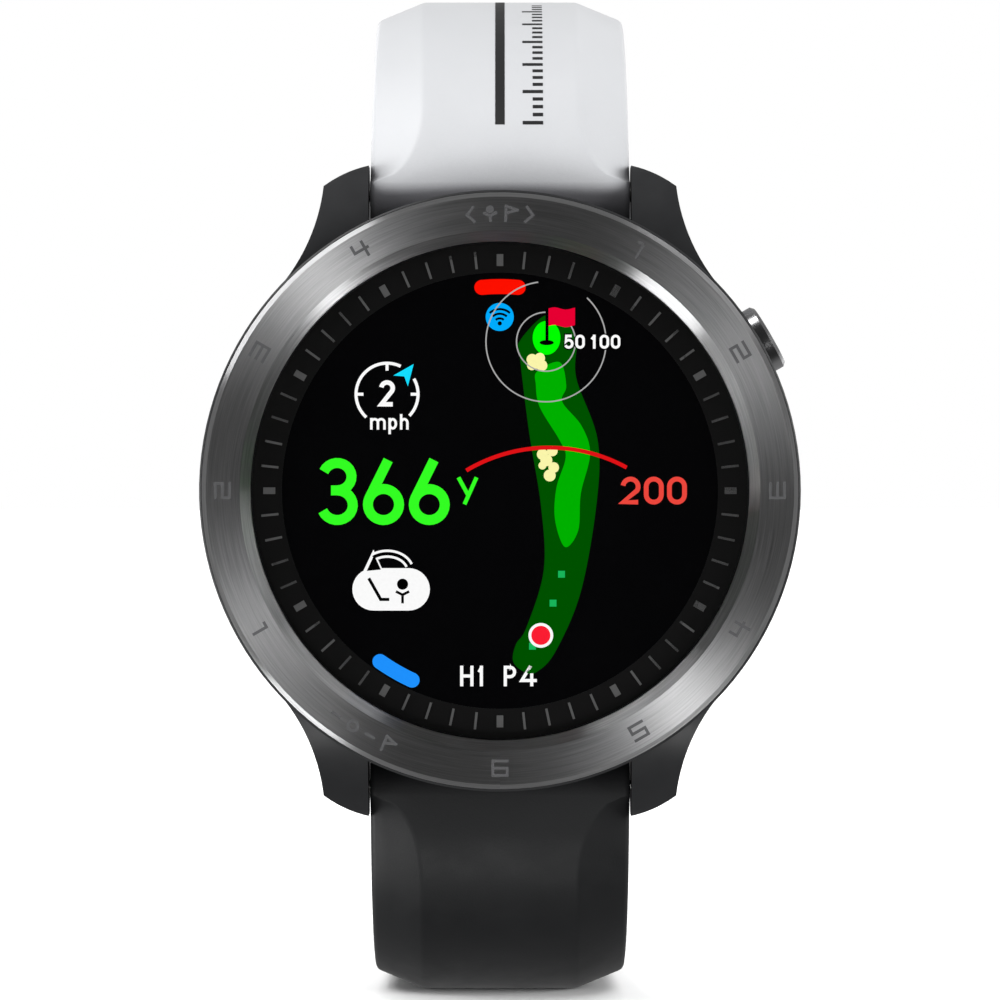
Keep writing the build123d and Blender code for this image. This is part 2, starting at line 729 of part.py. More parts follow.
def curved_band(from_distance, to_distance, left, right, deep):
    """A thin strip let into the upper strap's outer face, following it."""
    steps = max(round((to_distance - from_distance) / 2.5), 1)
    step = (to_distance - from_distance) / steps
    outer_points = []
    inner_points = []
    for index in range(steps + 1):
        depth, reach, heading = route_point(upper_begin, upper_legs, from_distance + step * index)
        away = (-cos(radians(heading)), sin(radians(heading)))
        outer_points.append((depth + 0.015 * away[0], reach + 0.015 * away[1]))
        inner_points.append((depth - deep * away[0], reach - deep * away[1]))
    side_plane = Plane(origin=(left, front_y, dial_height), x_dir=(0, 1, 0), z_dir=(1, 0, 0))
    with BuildSketch(side_plane) as band:
        with BuildLine():
            if steps > 1:
                Spline(*outer_points)
                Spline(*inner_points)
            else:
                Line(*outer_points)
                Line(*inner_points)
            Line(outer_points[0], inner_points[0])
            Line(outer_points[-1], inner_points[-1])
        make_face()
    extrude(band.sketch, amount=right - left)


with BuildPart() as stripe_inlay:
    curved_band(stripe_start, stripe_end, stripe_x - stripe_width / 2,
                stripe_x + stripe_width / 2, stripe_deep)
save(stripe_inlay, "stripe_inlay")

with BuildPart() as scale_marks:
    for index in range(mark_count):
        start = stripe_start + index * mark_step
        left = marks_left if index % long_mark_every == 0 else (marks_left + marks_right) / 2
        curved_band(start, start + mark_wide, left, marks_right, stripe_deep)
save(scale_marks, "scale_marks")

buckle_bar_at = strap_plane(upper_begin, upper_legs, 1, upper_length)
upper_end_thick = along(upper_thicks, upper_length)
buckle_bar_origin = buckle_bar_at.origin + buckle_bar_at.y_dir * (upper_end_thick / 2)
buckle_bar_plane = Plane(origin=buckle_bar_origin, x_dir=(0, 1, 0), z_dir=(1, 0, 0))
end_knuckle_radius = upper_end_thick / 2 - 0.02
end_knuckle_half = 8.7
tongue_half = 1.1
tongue_slot = 1.5
with BuildPart() as upper_strap:
    strap_body(upper_begin, upper_legs, 1, upper_widths, upper_thicks, upper_ridges)
    rod(knuckle_radius, -9.9, 9.9, bar_plane(1))
    bar_seat(1)
    rod(end_knuckle_radius, -end_knuckle_half, end_knuckle_half, buckle_bar_plane)
    rod(buckle_bar_radius + running_gap, -12, 12, buckle_bar_plane, Mode.SUBTRACT)
    with BuildSketch(Plane(origin=buckle_bar_origin - buckle_bar_at.z_dir * 3.2,
                           x_dir=(1, 0, 0), z_dir=buckle_bar_at.z_dir)) as slot_plan:
        Rectangle(2 * tongue_slot, 12)
    extrude(slot_plan.sketch, amount=12, mode=Mode.SUBTRACT)
    add(stripe_inlay.part, mode=Mode.SUBTRACT)
    add(scale_marks.part, mode=Mode.SUBTRACT)
save(upper_strap, "upper_strap")

# ---------------------------------------------------------------- keepers
keeper_wall = 1.3
tail_room = 3.2             # space for the tail on the strap's outer side
keeper_corner = 1.6


def keeper(distance, length, side_gap, under_gap):
    """A loop around the upper strap at a distance along it."""
    half = along(upper_widths, distance) + side_gap
    low = -tail_room
    high = upper_end_thick + under_gap
    with BuildSketch(strap_plane(upper_begin, upper_legs, 1, distance)) as loop:
        with Locations((0, (low + high) / 2)):
            RectangleRounded(2 * (half + keeper_wall), high - low + 2 * keeper_wall,
                             keeper_corner)
            RectangleRounded(2 * half, high - low, 0.5, mode=Mode.SUBTRACT)
    extrude(loop.sketch, amount=length)


keeper_length = 4.0
free_keeper_at = 64.0
fixed_keeper_at = 74.0
with BuildPart() as free_keeper:
    keeper(free_keeper_at, keeper_length, 0.25, 0.25)
save(free_keeper, "free_keeper")

with BuildPart() as fixed_keeper:
    keeper(fixed_keeper_at, keeper_length, 0.04, 0.04)
save(fixed_keeper, "fixed_keeper")

# ---------------------------------------------------------------- buckle, hanging from its bar
hang_plane = Plane(origin=buckle_bar_origin - Vector(0, buckle_thick / 2, 0),
                   x_dir=(1, 0, 0), z_dir=(0, -1, 0))
with BuildPart() as buckle_frame:
    with BuildSketch(hang_plane) as frame_plan:
        with BuildLine():
            Polyline((-buckle_outer, 1.6), (-buckle_outer, -buckle_drop - buckle_end),
                     (buckle_outer, -buckle_drop - buckle_end), (buckle_outer, 1.6),
                     (buckle_inner, 1.6), (buckle_inner, -buckle_drop),
                     (-buckle_inner, -buckle_drop), (-buckle_inner, 1.6), close=True)
        make_face()
        fillet(frame_plan.vertices().group_by(Axis.Y)[0], 4.0)
        fillet(frame_plan.vertices().group_by(Axis.Y)[-1], 1.2)
    extrude(frame_plan.sketch, amount=-buckle_thick)
    chamfer(buckle_frame.faces().filter_by(Axis.Y).edges()
            .filter_by_position(Axis.Z, buckle_bar_origin.Z - 20, buckle_bar_origin.Z - 10), 0.35)
    rod(buckle_bar_radius, -13, 13, buckle_bar_plane, Mode.SUBTRACT)
save(buckle_frame, "buckle_frame")

with BuildPart() as buckle_bar:
    rod(buckle_bar_radius, -11.9, 11.9, buckle_bar_plane)
save(buckle_bar, "buckle_bar")

tongue_near = buckle_thick / 2 + 0.1
tongue_thick = 0.9
tongue_reach = buckle_drop + buckle_end
with BuildPart() as buckle_tongue:
    with BuildSketch(buckle_bar_plane.offset(-tongue_half)) as tongue_side:
        with BuildLine():
            Polyline((0, 1.2), (tongue_near + tongue_thick, 0.4),
                     (tongue_near + tongue_thick, -tongue_reach + 1.5),
                     (tongue_near + 0.5, -tongue_reach),
                     (tongue_near, -tongue_reach), (tongue_near, -1.2), (0, -1.2), close=True)
        make_face()
        Circle(1.45)
        Circle(buckle_bar_radius + running_gap, mode=Mode.SUBTRACT)
    extrude(tongue_side.sketch, amount=2 * tongue_half)
save(buckle_tongue, "buckle_tongue")

# ---------------------------------------------------------------- quick-release spring bars
tube_half = 8.6
core_start = -1.0
pin_inner_end = -5.4
bar_spring_wire = 0.14
for side, name in ((1, "upper"), (-1, "lower")):
    along_bar = bar_plane(side)
    slot_plane = Plane(origin=along_bar.origin, x_dir=(1, 0, 0), z_dir=(0, 1, 0))
    with BuildPart() as bar_tube:
        collar(0.62, bar_tube_radius, -tube_half, tube_half, along_bar)
        with BuildSketch(slot_plane) as tube_slot:
            with Locations((pin_knob_x + 0.7, 0)):
                Rectangle(2.7, 2 * (knob_radius + running_gap))
        extrude(tube_slot.sketch, amount=2, mode=Mode.SUBTRACT)
    save(bar_tube, f"{name}_bar_tube")

    with BuildPart() as bar_tip:
        rod(0.62, core_start, tube_half, along_bar)
        rod(bar_tube_radius, tube_half, 9.7, along_bar)
        rod(bar_tip_radius, 9.7, bar_tip_reach, along_bar)
    save(bar_tip, f"{name}_bar_tip")

    with BuildPart() as bar_pin:
        rod(0.62 - running_gap, -tube_half, pin_inner_end, along_bar)
        rod(bar_tip_radius, -bar_tip_reach, -tube_half, along_bar)
        with BuildSketch(Plane(origin=along_bar.origin + Vector(pin_knob_x, 0, 0),
                               x_dir=(1, 0, 0), z_dir=(0, 1, 0))) as knob:
            Circle(knob_radius)
        extrude(knob.sketch, amount=knob_reach)
    save(bar_pin, f"{name}_bar_pin")

    with BuildPart() as bar_spring:
        coil(0.42, bar_spring_wire, pin_inner_end + 0.1, core_start - pin_inner_end - 0.2, 6,
             along_bar)
    save(bar_spring, f"{name}_bar_spring")
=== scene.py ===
"""Looks of the golf GPS watch: materials, the lit display, lights, floor and camera.

Metres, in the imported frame: the dial faces -Y, 12 o'clock is +Z and the watch stands on z = 0.
Drawings on the display are in millimetres from the dial's centre, x to 3 o'clock, y to 12, and
clock angles run clockwise from 12 o'clock.
"""
import math

import bmesh
import bpy
from mathutils import Matrix, Vector


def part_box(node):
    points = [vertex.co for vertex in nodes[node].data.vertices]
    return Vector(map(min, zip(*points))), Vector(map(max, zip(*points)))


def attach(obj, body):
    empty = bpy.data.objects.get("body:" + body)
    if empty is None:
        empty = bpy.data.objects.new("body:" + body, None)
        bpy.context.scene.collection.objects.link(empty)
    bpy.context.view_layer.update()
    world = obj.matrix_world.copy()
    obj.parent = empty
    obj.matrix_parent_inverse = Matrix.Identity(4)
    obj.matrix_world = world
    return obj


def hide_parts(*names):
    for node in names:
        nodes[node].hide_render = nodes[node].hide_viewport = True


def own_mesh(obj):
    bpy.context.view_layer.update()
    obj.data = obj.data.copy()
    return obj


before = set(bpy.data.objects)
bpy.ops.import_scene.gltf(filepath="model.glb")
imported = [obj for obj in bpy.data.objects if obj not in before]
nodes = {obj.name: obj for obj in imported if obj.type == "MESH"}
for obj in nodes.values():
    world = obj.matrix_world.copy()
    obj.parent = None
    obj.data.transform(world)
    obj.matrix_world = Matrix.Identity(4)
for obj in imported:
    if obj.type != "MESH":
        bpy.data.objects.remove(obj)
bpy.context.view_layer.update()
MM = 0.001

bezel_low, bezel_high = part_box("bezel")
dial_x = (bezel_low.x + bezel_high.x) / 2
dial_z = (bezel_low.z + bezel_high.z) / 2
front_y = bezel_low.y
dial_centre = Vector((dial_x, front_y, dial_z))

# ---------------------------------------------------------------- camera
VIEW_DISTANCE = 0.400       # from the plane of the lugs
LUG_PLANE = 0.006           # behind the bezel's front
SEEN_WIDTH = 0.0762         # width of the picture at that plane
CAMERA_DROP = 0.0007        # the camera is this much below the dial's centre
SENSOR = 36.0

camera = bpy.data.objects.new("camera", bpy.data.cameras.new("camera"))
bpy.context.scene.collection.objects.link(camera)
camera.data.sensor_width = SENSOR
camera.data.lens = SENSOR * VIEW_DISTANCE / SEEN_WIDTH
camera.data.clip_start = 0.01
camera.data.clip_end = 100
camera.location = (dial_x, front_y + LUG_PLANE - VIEW_DISTANCE, dial_z - CAMERA_DROP)
camera.rotation_euler = (math.radians(90), 0, 0)
bpy.context.scene.camera = camera
bpy.context.scene.view_settings.view_transform = "Standard"


# ---------------------------------------------------------------- material helpers
def seen(*shades):
    """Linear colour of a colour given as it looks on a screen, 0 to 255."""
    return tuple(((s / 255 + 0.055) / 1.055) ** 2.4 if s > 10 else s / 255 / 12.92
                 for s in shades)


def principled(name, color, roughness=0.5, metallic=0.0, **sockets):
    """A Principled material. Extra names are sockets with spaces written as underscores."""
    material = bpy.data.materials.new(name)
    material.use_nodes = True
    shader = shader_of(material)
    shader.inputs["Base Color"].default_value = (*color, 1)
    shader.inputs["Roughness"].default_value = roughness
    shader.inputs["Metallic"].default_value = metallic
    for key, value in sockets.items():
        shader.inputs[key.replace("_", " ")].default_value = value
    return material


def shader_of(material):
    return material.node_tree.nodes["Principled BSDF"]


def node_of(material, kind, inputs=None, **values):
    """Adds one shader node. An input is a number, a tuple, or the socket that feeds it."""
    made = material.node_tree.nodes.new(kind)
    for key, value in values.items():
        setattr(made, key, value)
    for key, value in (inputs or {}).items():
        if isinstance(value, bpy.types.NodeSocket):
            material.node_tree.links.new(value, made.inputs[key])
        else:
            made.inputs[key].default_value = value
    return made


def feed(material, socket, output):
    """Links an output to one of the Principled shader's sockets."""
    material.node_tree.links.new(output, shader_of(material).inputs[socket])


def maths(material, operation, first, second=0.0, third=0.0):
    return node_of(material, "ShaderNodeMath", {0: first, 1: second, 2: third},
                   operation=operation).outputs[0]


def place_from(material, centre=(0, 0, 0)):
    """Position on the resting model, measured from a centre."""
    place = node_of(material, "ShaderNodeTexCoord").outputs["Object"]
    return node_of(material, "ShaderNodeVectorMath", {0: place, 1: tuple(centre)},
                   operation="SUBTRACT").outputs[0]


def noise(material, vector, scale, detail=4.0, roughness=0.55):
    return node_of(material, "ShaderNodeTexNoise", {"Vector": vector, "Scale": scale,
                   "Detail": detail, "Roughness": roughness}).outputs["Fac"]


def between(material, factor, low, high, start=0.0, stop=1.0):
    """Maps a factor from start..stop to low..high."""
    return node_of(material, "ShaderNodeMapRange", {"Value": factor, "From Min": start,
                   "From Max": stop, "To Min": low, "To Max": high}).outputs["Result"]


def blend_colors(material, factor, first, second):
    mix = node_of(material, "ShaderNodeMix", data_type="RGBA")
    tree = material.node_tree
    tree.links.new(factor, mix.inputs[0])
    for index, value in ((6, first), (7, second)):
        if isinstance(value, bpy.types.NodeSocket):
            tree.links.new(value, mix.inputs[index])
        else:
            mix.inputs[index].default_value = (*value, 1)
    return mix.outputs[2]


def bump(material, height, distance, strength=1.0):
    """Raises the surface by distance (metres) where height is 1."""
    made = node_of(material, "ShaderNodeBump", {"Height": height, "Distance": distance,
                   "Strength": strength})
    feed(material, "Normal", made.outputs["Normal"])


def moulded(name, color, roughness, grain=9000, deep=0.000006, mottle=0.12, spread=0.06,
            centre=(0, 0, 0), **sockets):
    """Moulded, cast or blasted surface: fine grain, cloudy gloss and slightly uneven colour."""
    material = principled(name, color, roughness, **sockets)
    place = place_from(material, centre)
    fine = noise(material, place, grain, 3.0)
    cloud = noise(material, place, 260, 5.0, 0.6)
    feed(material, "Base Color", blend_colors(material, cloud,
         tuple(c * (1 - mottle) for c in color), tuple(min(c * (1 + mottle), 1) for c in color)))
    feed(material, "Roughness", between(material, cloud, roughness - spread, roughness + spread,
                                        0.3, 0.7))
    bump(material, fine, deep)
    return material


def paint(material, *names):
    """Gives CAD nodes a material."""
    for name in names:
        data = nodes[name].data
        data.materials.clear()
        data.materials.append(material)


# ---------------------------------------------------------------- bezel
BEZEL_FLAT = (0.01955, 0.02207)     # inner and outer radius of its flat front


def soften_edges(width, *names):
    """Rounds the sharp edges of hard CAD pieces a little."""
    for name in names:
        modifier = nodes[name].modifiers.new("soft_edges", "BEVEL")
        modifier.width = width
        modifier.segments = 2
        modifier.limit_method = "ANGLE"
        modifier.angle_limit = math.radians(28)
        modifier.harden_normals = True


def brushed_round(name, color, roughness, dark_edges):
    """Metal brushed in circles about the dial: fine streaks that run round it."""
    material = principled(name, color, roughness, 1.0, Anisotropic=0.97,
                          Anisotropic_Rotation=0.25)
    feed(material, "Tangent", node_of(material, "ShaderNodeTangent", direction_type="RADIAL",
                                      axis="Y").outputs[0])
    place = node_of(material, "ShaderNodeSeparateXYZ", {0: place_from(material, dial_centre)})
    x, z = place.outputs["X"], place.outputs["Z"]
    radius = maths(material, "SQRT", maths(material, "ADD", maths(material, "MULTIPLY", x, x),
                                           maths(material, "MULTIPLY", z, z)))
    angle = maths(material, "ARCTAN2", x, z)
    streak_place = node_of(material, "ShaderNodeCombineXYZ",
                           {"X": maths(material, "MULTIPLY", radius, 9000.0),
                            "Y": maths(material, "MULTIPLY", angle, 3.0), "Z": 0.0}).outputs[0]
    streaks = noise(material, streak_place, 1.0, 6.0, 0.7)
    feed(material, "Base Color", blend_colors(material, between(material, streaks, 0, 1, 0.3, 0.7),
         tuple(c * 0.72 for c in color), tuple(c * 1.25 for c in color)))
    rough = between(material, streaks, roughness - 0.07, roughness + 0.07, 0.3, 0.7)
    if dark_edges:
        inside = maths(material, "LESS_THAN", radius, BEZEL_FLAT[0])
        outside = maths(material, "GREATER_THAN", radius, BEZEL_FLAT[1])
        chamfered = maths(material, "ADD", inside, outside)
        rough = maths(material, "MULTIPLY", rough, between(material, chamfered, 1.0, 0.72))
    feed(material, "Roughness", rough)
    bump(material, streaks, 0.000003)
    return material


paint(brushed_round("bezel_gunmetal", (0.46, 0.46, 0.465), 0.45, True), "bezel")
paint(moulded("bezel_print", (0.125, 0.125, 0.13), 0.55, grain=20000, deep=0.000002,
              Metallic=0.35), "bezel_markings")

# ---------------------------------------------------------------- crystal and what lies under it
crystal = principled("crystal_glass", (1, 1, 1), 0.015, 1.0)
# an antireflection coating: no mirror image head on, more towards the edge of sight
facing = node_of(crystal, "ShaderNodeLayerWeight", {"Blend": 0.5}).outputs["Facing"]
smear = noise(crystal, place_from(crystal, dial_centre), 140, 6.0)
feed(crystal, "Alpha", maths(crystal, "MULTIPLY", maths(crystal, "POWER", facing, 5.0),
                             between(crystal, smear, 0.5, 0.6, 0.35, 0.65)))
feed(crystal, "Roughness", between(crystal, smear, 0.01, 0.03, 0.4, 0.6))
paint(crystal, "crystal")
paint(moulded("display_glass", seen(4, 4, 5), 0.12, deep=0.0000003, Specular_IOR_Level=0.1),
      "display_panel")
paint(moulded("border_print", seen(12, 12, 12), 0.6, deep=0.000001, Specular_IOR_Level=0.1),
      "border_print", "crystal_gasket")
paint(moulded("minute_print", seen(84, 84, 84), 0.6, deep=0.000001, Specular_IOR_Level=0.1),
      "minute_marks")

# ---------------------------------------------------------------- case, straps and metal parts
case_black = moulded("case_black", (0.021, 0.0215, 0.023), 0.36, grain=14000, deep=0.000005)
paint(case_black, "mid_case")
paint(moulded("back_black", (0.024, 0.0245, 0.026), 0.44, grain=7000, deep=0.000008),
      "back_cover", "contact_block")
strap_white = moulded("strap_white", (0.63, 0.64, 0.66), 0.47, grain=6500, deep=0.000009,
                      mottle=0.02, Sheen_Weight=0.15, Sheen_Roughness=0.5)
strap_black = moulded("strap_black", (0.009, 0.0095, 0.0105), 0.5, grain=6500, deep=0.000009,
                      Specular_IOR_Level=0.4)
# painted shade: an ambient occlusion node darkens the white strap's colour where it tucks in
# behind the bezel and in other hollows, on every piece of this material
PAINTED_SHADE_REACH, PAINTED_NOOK_SHADE = 0.016, (0.12, 0.12, 0.13)
painted_shade_occlusion = node_of(strap_white, "ShaderNodeAmbientOcclusion", {"Distance": PAINTED_SHADE_REACH}, samples=16)
unshaded_share = between(strap_white, painted_shade_occlusion.outputs["AO"], 0.0, 1.0, 0.6, 0.98)
plain_white = shader_of(strap_white).inputs["Base Color"].links[0].from_socket
feed(strap_white, "Base Color", blend_colors(strap_white, unshaded_share, PAINTED_NOOK_SHADE, plain_white))
paint(strap_white, "upper_strap", "fixed_keeper", "free_keeper")
paint(strap_black, "lower_strap")
paint(moulded("strap_print", (0.012, 0.012, 0.013), 0.5, deep=0.000003), "stripe_inlay",
      "scale_marks")
button_metal = moulded("button_metal", (0.3, 0.3, 0.305), 0.24, grain=30000, deep=0.0000006,
                       mottle=0.03, spread=0.015, Metallic=1.0)
paint(button_metal, "button_cap", "button_stem")
buckle_metal = moulded("buckle_metal", (0.38, 0.38, 0.385), 0.36, grain=22000, deep=0.0000008,
                       mottle=0.03, spread=0.015, Metallic=1.0)
paint(buckle_metal, "buckle_frame", "buckle_bar", "buckle_tongue")
soften_edges(0.0002, "buckle_frame", "buckle_tongue", "mid_case", "back_cover")
steel = moulded("bar_steel", (0.52, 0.52, 0.51), 0.3, grain=16000, deep=0.000002, mottle=0.06,
                Metallic=1.0)
for side in ("upper", "lower"):
    paint(steel, f"{side}_bar_tube", f"{side}_bar_tip", f"{side}_bar_pin", f"{side}_bar_spring")
paint(steel, "button_spring", "button_clip", "button_bushing", "back_screws", "board_screws",
      "motor_shaft", "motor_rotor", "motor_can", "board_shields")
paint(moulded("contact_gold", (0.83, 0.62, 0.29), 0.25, grain=20000, deep=0.000001, mottle=0.05,
              Metallic=1.0), "charging_contacts", "antenna_patch")
paint(moulded("seal_rubber", (0.02, 0.02, 0.02), 0.6), "button_seals", "back_gasket")
paint(moulded("chassis_grey", (0.12, 0.12, 0.125), 0.5), "chassis", "side_switch")
paint(moulded("board_green", (0.01, 0.07, 0.03), 0.4), "main_board")
paint(moulded("flex_amber", (0.4, 0.16, 0.03), 0.4), "display_flex")
paint(moulded("ceramic", (0.6, 0.57, 0.5), 0.55), "gps_antenna")
paint(moulded("battery_foil", (0.45, 0.46, 0.48), 0.35, Metallic=0.6), "battery")
paint(moulded("pad_foam", (0.05, 0.05, 0.055), 0.9, grain=4000, deep=0.00002), "battery_pad")

# ---------------------------------------------------------------- rubber strap halves
# Each strap is walked along its outer face from its spring bar in (depth, reach) millimetres:
# depth behind the bezel's front, reach up or down from the dial's centre.
BAR = (8.0, 22.6)           # depth and reach of both spring bars
UPPER_BEGIN = (27.7 - 23.4 * math.cos(math.radians(18)),
               15.75 + 23.4 * math.sin(math.radians(18)), 18.0)
UPPER_LEGS = [("arc", 23.4, 72.0), ("arc", 26.0, 65.0), ("line", 24.0)]
LOWER_BEGIN = (BAR[0] - 2.52, BAR[1], 0.0)
LOWER_LEGS = [("line", 3.38), ("arc", 13.0, 90.0), ("line", 24.0), ("arc", 47.0, 62.0),
              ("line", 16.0)]
UPPER_SHAPE = {"widths": [(0, 9.9), (8, 9.85), (30, 9.7), (54, 9.0)],
               "thicks": [(0, 4.8), (10, 4.3), (30, 3.8), (56, 3.3)],
               "ridges": [(0, 5.95), (30, 6.05), (56, 6.6)]}
LOWER_SHAPE = {"widths": [(0, 9.9), (8, 9.85), (24, 9.65), (50, 9.05), (70, 9.0)],
               "thicks": [(0, 4.7), (14, 4.0), (30, 3.6), (70, 3.0), (115, 2.8)],
               "ridges": [(0, 5.95), (30, 6.0), (70, 6.6)]}
FACET_SLOPE = math.tan(math.radians(22.3))
FACET_START, FACET_RUN = 0.7, 6.5
KNUCKLE_RADIUS = 2.5        # of the round end over a spring bar
KNUCKLE_HALF, KNUCKLE_RIDGE = 9.9, 9.6      # half widths of that end and of its flat top
TIP_RADIUS = 8.0            # round corners of the tail's tip
TIP_EDGE = 0.7              # radius that the tip's edges are rounded to
RING_STEP = 0.6


def leg_length(leg):
    return leg[1] if leg[0] == "line" else leg[1] * math.radians(leg[2])


def reading(stations, distance):
    """Linear reading of (distance, value) stations, held at both ends."""
    if distance <= stations[0][0]:
        return stations[0][1]
    for (low, first), (high, last) in zip(stations, stations[1:]):
        if distance <= high:
            return first + (last - first) * (distance - low) / (high - low)
    return stations[-1][1]


def strap_frame(begin, legs, side, distance):
    """Millimetre point on the outer face, direction towards the wrist, direction of travel."""
    depth, reach, heading = begin
    heading = math.radians(heading)
    for leg in legs:
        walked = min(distance, leg_length(leg))
        distance -= walked
        if leg[0] == "line":
            depth += walked * math.sin(heading)
            reach += walked * math.cos(heading)
        else:
            after = heading + walked / leg[1]
            depth += leg[1] * (math.cos(heading) - math.cos(after))
            reach += leg[1] * (math.sin(after) - math.sin(heading))
            heading = after
        if distance <= 1e-9:
            break
    centre = Vector((0, depth, side * reach))
    return (centre, Vector((0, math.cos(heading), -side * math.sin(heading))),
            Vector((0, math.sin(heading), side * math.cos(heading))))


def softened(corners, radii, turns=4):
    """A closed outline with its corners rounded off."""
    outline = []
    count = len(corners)
    for i, (corner, radius) in enumerate(zip(corners, radii)):
        corner = Vector(corner)
        back = Vector(corners[i - 1]) - corner
        ahead = Vector(corners[(i + 1) % count]) - corner
        cut = min(radius, 0.46 * back.length, 0.46 * ahead.length)
        first, last = corner + back.normalized() * cut, corner + ahead.normalized() * cut
        for step in range(turns + 1):
            t = step / turns
            outline.append(first * (1 - t) ** 2 + corner * 2 * t * (1 - t) + last * t * t)
    return outline


def filled_in(outline, longest):
    """Adds points along an outline's long straight sides: longest gives how many per side."""
    full = []
    for i, point in enumerate(outline):
        full.append(point)
        following = outline[(i + 1) % len(outline)]
        for step in range(1, longest.get(i, 1)):
            full.append(point.lerp(following, step / longest[i]))
    return full


def strap_outline(half, ridge, thick):
    """Cross-section: flat crown, two facets, two sides and a chamfered wrist side."""
    edge = min(0.5, thick * 0.4)
    drop = min((half - ridge) * FACET_SLOPE, thick - edge - 0.05)
    corners = [(-ridge, 0), (ridge, 0), (half, drop), (half, thick - edge),
               (half - edge, thick), (edge - half, thick), (edge - half - edge, thick - edge),
               (-half, drop)]
    outline = softened(corners, (0.25, 0.25, 0.4, 0.35, 0.35, 0.35, 0.35, 0.4))
    return filled_in(outline, {4: 8, 9: 3, 24: 10, 39: 3})


def ring_points(frame_at, half, ridge, thick, inset=0.0):
    centre, inward, _ = frame_at
    shape = strap_outline(half, ridge, max(thick - 2 * inset, 0.2))
    return [dial_centre + (centre + Vector((p.x, 0, 0)) + inward * (p.y + inset)) * MM
            for p in shape]


def ring_mesh(name, rings, closed=False):
    """A skin over rings of points, capped at both ends unless it closes on itself."""
    around = len(rings[0])
    points = [p for ring in rings for p in ring]
    faces = []
    for i in range(len(rings) if closed else len(rings) - 1):
        low, high = i * around, (i + 1) % len(rings) * around
        for k in range(around):
            following = (k + 1) % around
            faces.append([low + k, low + following, high + following, high + k])
    if not closed:
        faces.append(list(range(around)))
        faces.append([len(points) - around + k for k in reversed(range(around))])
    mesh = bpy.data.meshes.new(name)
    mesh.from_pydata(points, [], faces)
    piece = bpy.data.objects.new(name, mesh)
    bpy.context.scene.collection.objects.link(piece)
    tidy_normals(piece)
    return piece


def tidy_normals(piece):
    """Faces all look outwards."""
    form = bmesh.new()
    form.from_mesh(piece.data)
    bmesh.ops.recalc_face_normals(form, faces=form.faces)
    form.to_mesh(piece.data)
    form.free()


def smooth_shaded(piece, sharpest=38):
    piece.data.polygons.foreach_set("use_smooth", [True] * len(piece.data.polygons))
    piece.data.set_sharp_from_angle(angle=math.radians(sharpest))


def facet_ridge(half, middle, distance):
    left = min(max(1 - (distance - FACET_START) / FACET_RUN, 0), 1)
    return middle + (half - 0.3 - middle) * (1 - math.sqrt(1 - left * left))


def strap_rings(begin, legs, side, shape):
    """Rings from the round end over the spring bar to the strap's far end."""
    rings = []
    start = strap_frame(begin, legs, side, 0)
    bar = Vector((0, BAR[0], side * BAR[1]))
    for turn in (86, 80, 72, 62, 50, 36, 22):
        turned = math.radians(turn)
        outer = bar - start[1] * KNUCKLE_RADIUS * math.cos(turned) \
            - start[2] * KNUCKLE_RADIUS * math.sin(turned)
        rings.append(ring_points((outer, start[1], start[2]), KNUCKLE_HALF, KNUCKLE_RIDGE,
                                 2 * KNUCKLE_RADIUS * math.cos(turned)))
    length = sum(leg_length(leg) for leg in legs)
    steps = round(length / RING_STEP)
    distances = [length * i / steps for i in range(steps + 1)]
    if side < 0:                # the tail's round tip takes its rings at even turns
        tip_start = length - TIP_RADIUS
        distances = [d for d in distances if d < tip_start]
        distances += [length - TIP_RADIUS * (1 - math.sin(math.radians(5 * k)))
                      for k in range(19)]
    for distance in distances:
        half = reading(shape["widths"], distance)
        ridge = facet_ridge(half, reading(shape["ridges"], distance), distance)
        thick = reading(shape["thicks"], distance)
        inset = 0.0
        if side < 0:
            left = length - distance
            if left < TIP_RADIUS:
                half = half - TIP_RADIUS + math.sqrt(TIP_RADIUS ** 2 - (TIP_RADIUS - left) ** 2)
                ridge = min(ridge, half - 0.4)
            if left < TIP_EDGE:
                inset = TIP_EDGE - math.sqrt(TIP_EDGE ** 2 - (TIP_EDGE - left) ** 2)
        rings.append(ring_points(strap_frame(begin, legs, side, distance), half, ridge, thick,
                                 inset))
    return rings, length


def cut(piece, tools):
    """Subtracts the tools from a piece for good, and removes them."""
    for tool in tools:
        carve = piece.modifiers.new("cut", "BOOLEAN")
        carve.operation = "DIFFERENCE"
        carve.solver = "EXACT"
        carve.object = tool
    bpy.context.view_layer.update()
    view = piece.evaluated_get(bpy.context.evaluated_depsgraph_get())
    carved = bpy.data.meshes.new_from_object(view)
    piece.modifiers.clear()
    piece.data = carved
    for tool in tools:
        bpy.data.objects.remove(tool)


def block(name, centre, along, size, corner=0.35):
    """A cutting block with rounded corners; along is its long axis, size is x, y and length."""
    along = along.normalized()
    across = Vector((1, 0, 0)) if abs(along.x) < 0.5 else Vector((0, 1, 0))
    third = along.cross(across)
    w, h, length = size
    outline = softened([(-w / 2, -h / 2), (w / 2, -h / 2), (w / 2, h / 2), (-w / 2, h / 2)],
                       [corner] * 4)
    return ring_mesh(name, [[dial_centre + (centre + across * p.x + third * p.y + along * t) * MM
                             for p in outline] for t in (-length / 2, length / 2)])


HOLE_RADIUS, HOLE_ROUND = 1.15, 0.28        # and the radius its rims are rounded to
HOLE_SIDES = 32
HOLE_COUNT, HOLE_STEP, LAST_HOLE = 9, 6.5, 13.0     # the last is measured from the tip
KNOB_X = -6.75              # middle of the windows for the spring bars' release knobs


def knob_window(side):
    return block("window", Vector((KNOB_X, BAR[0] + 3, side * BAR[1])), Vector((0, 1, 0)),
                 (3.4, 1.7, 6))


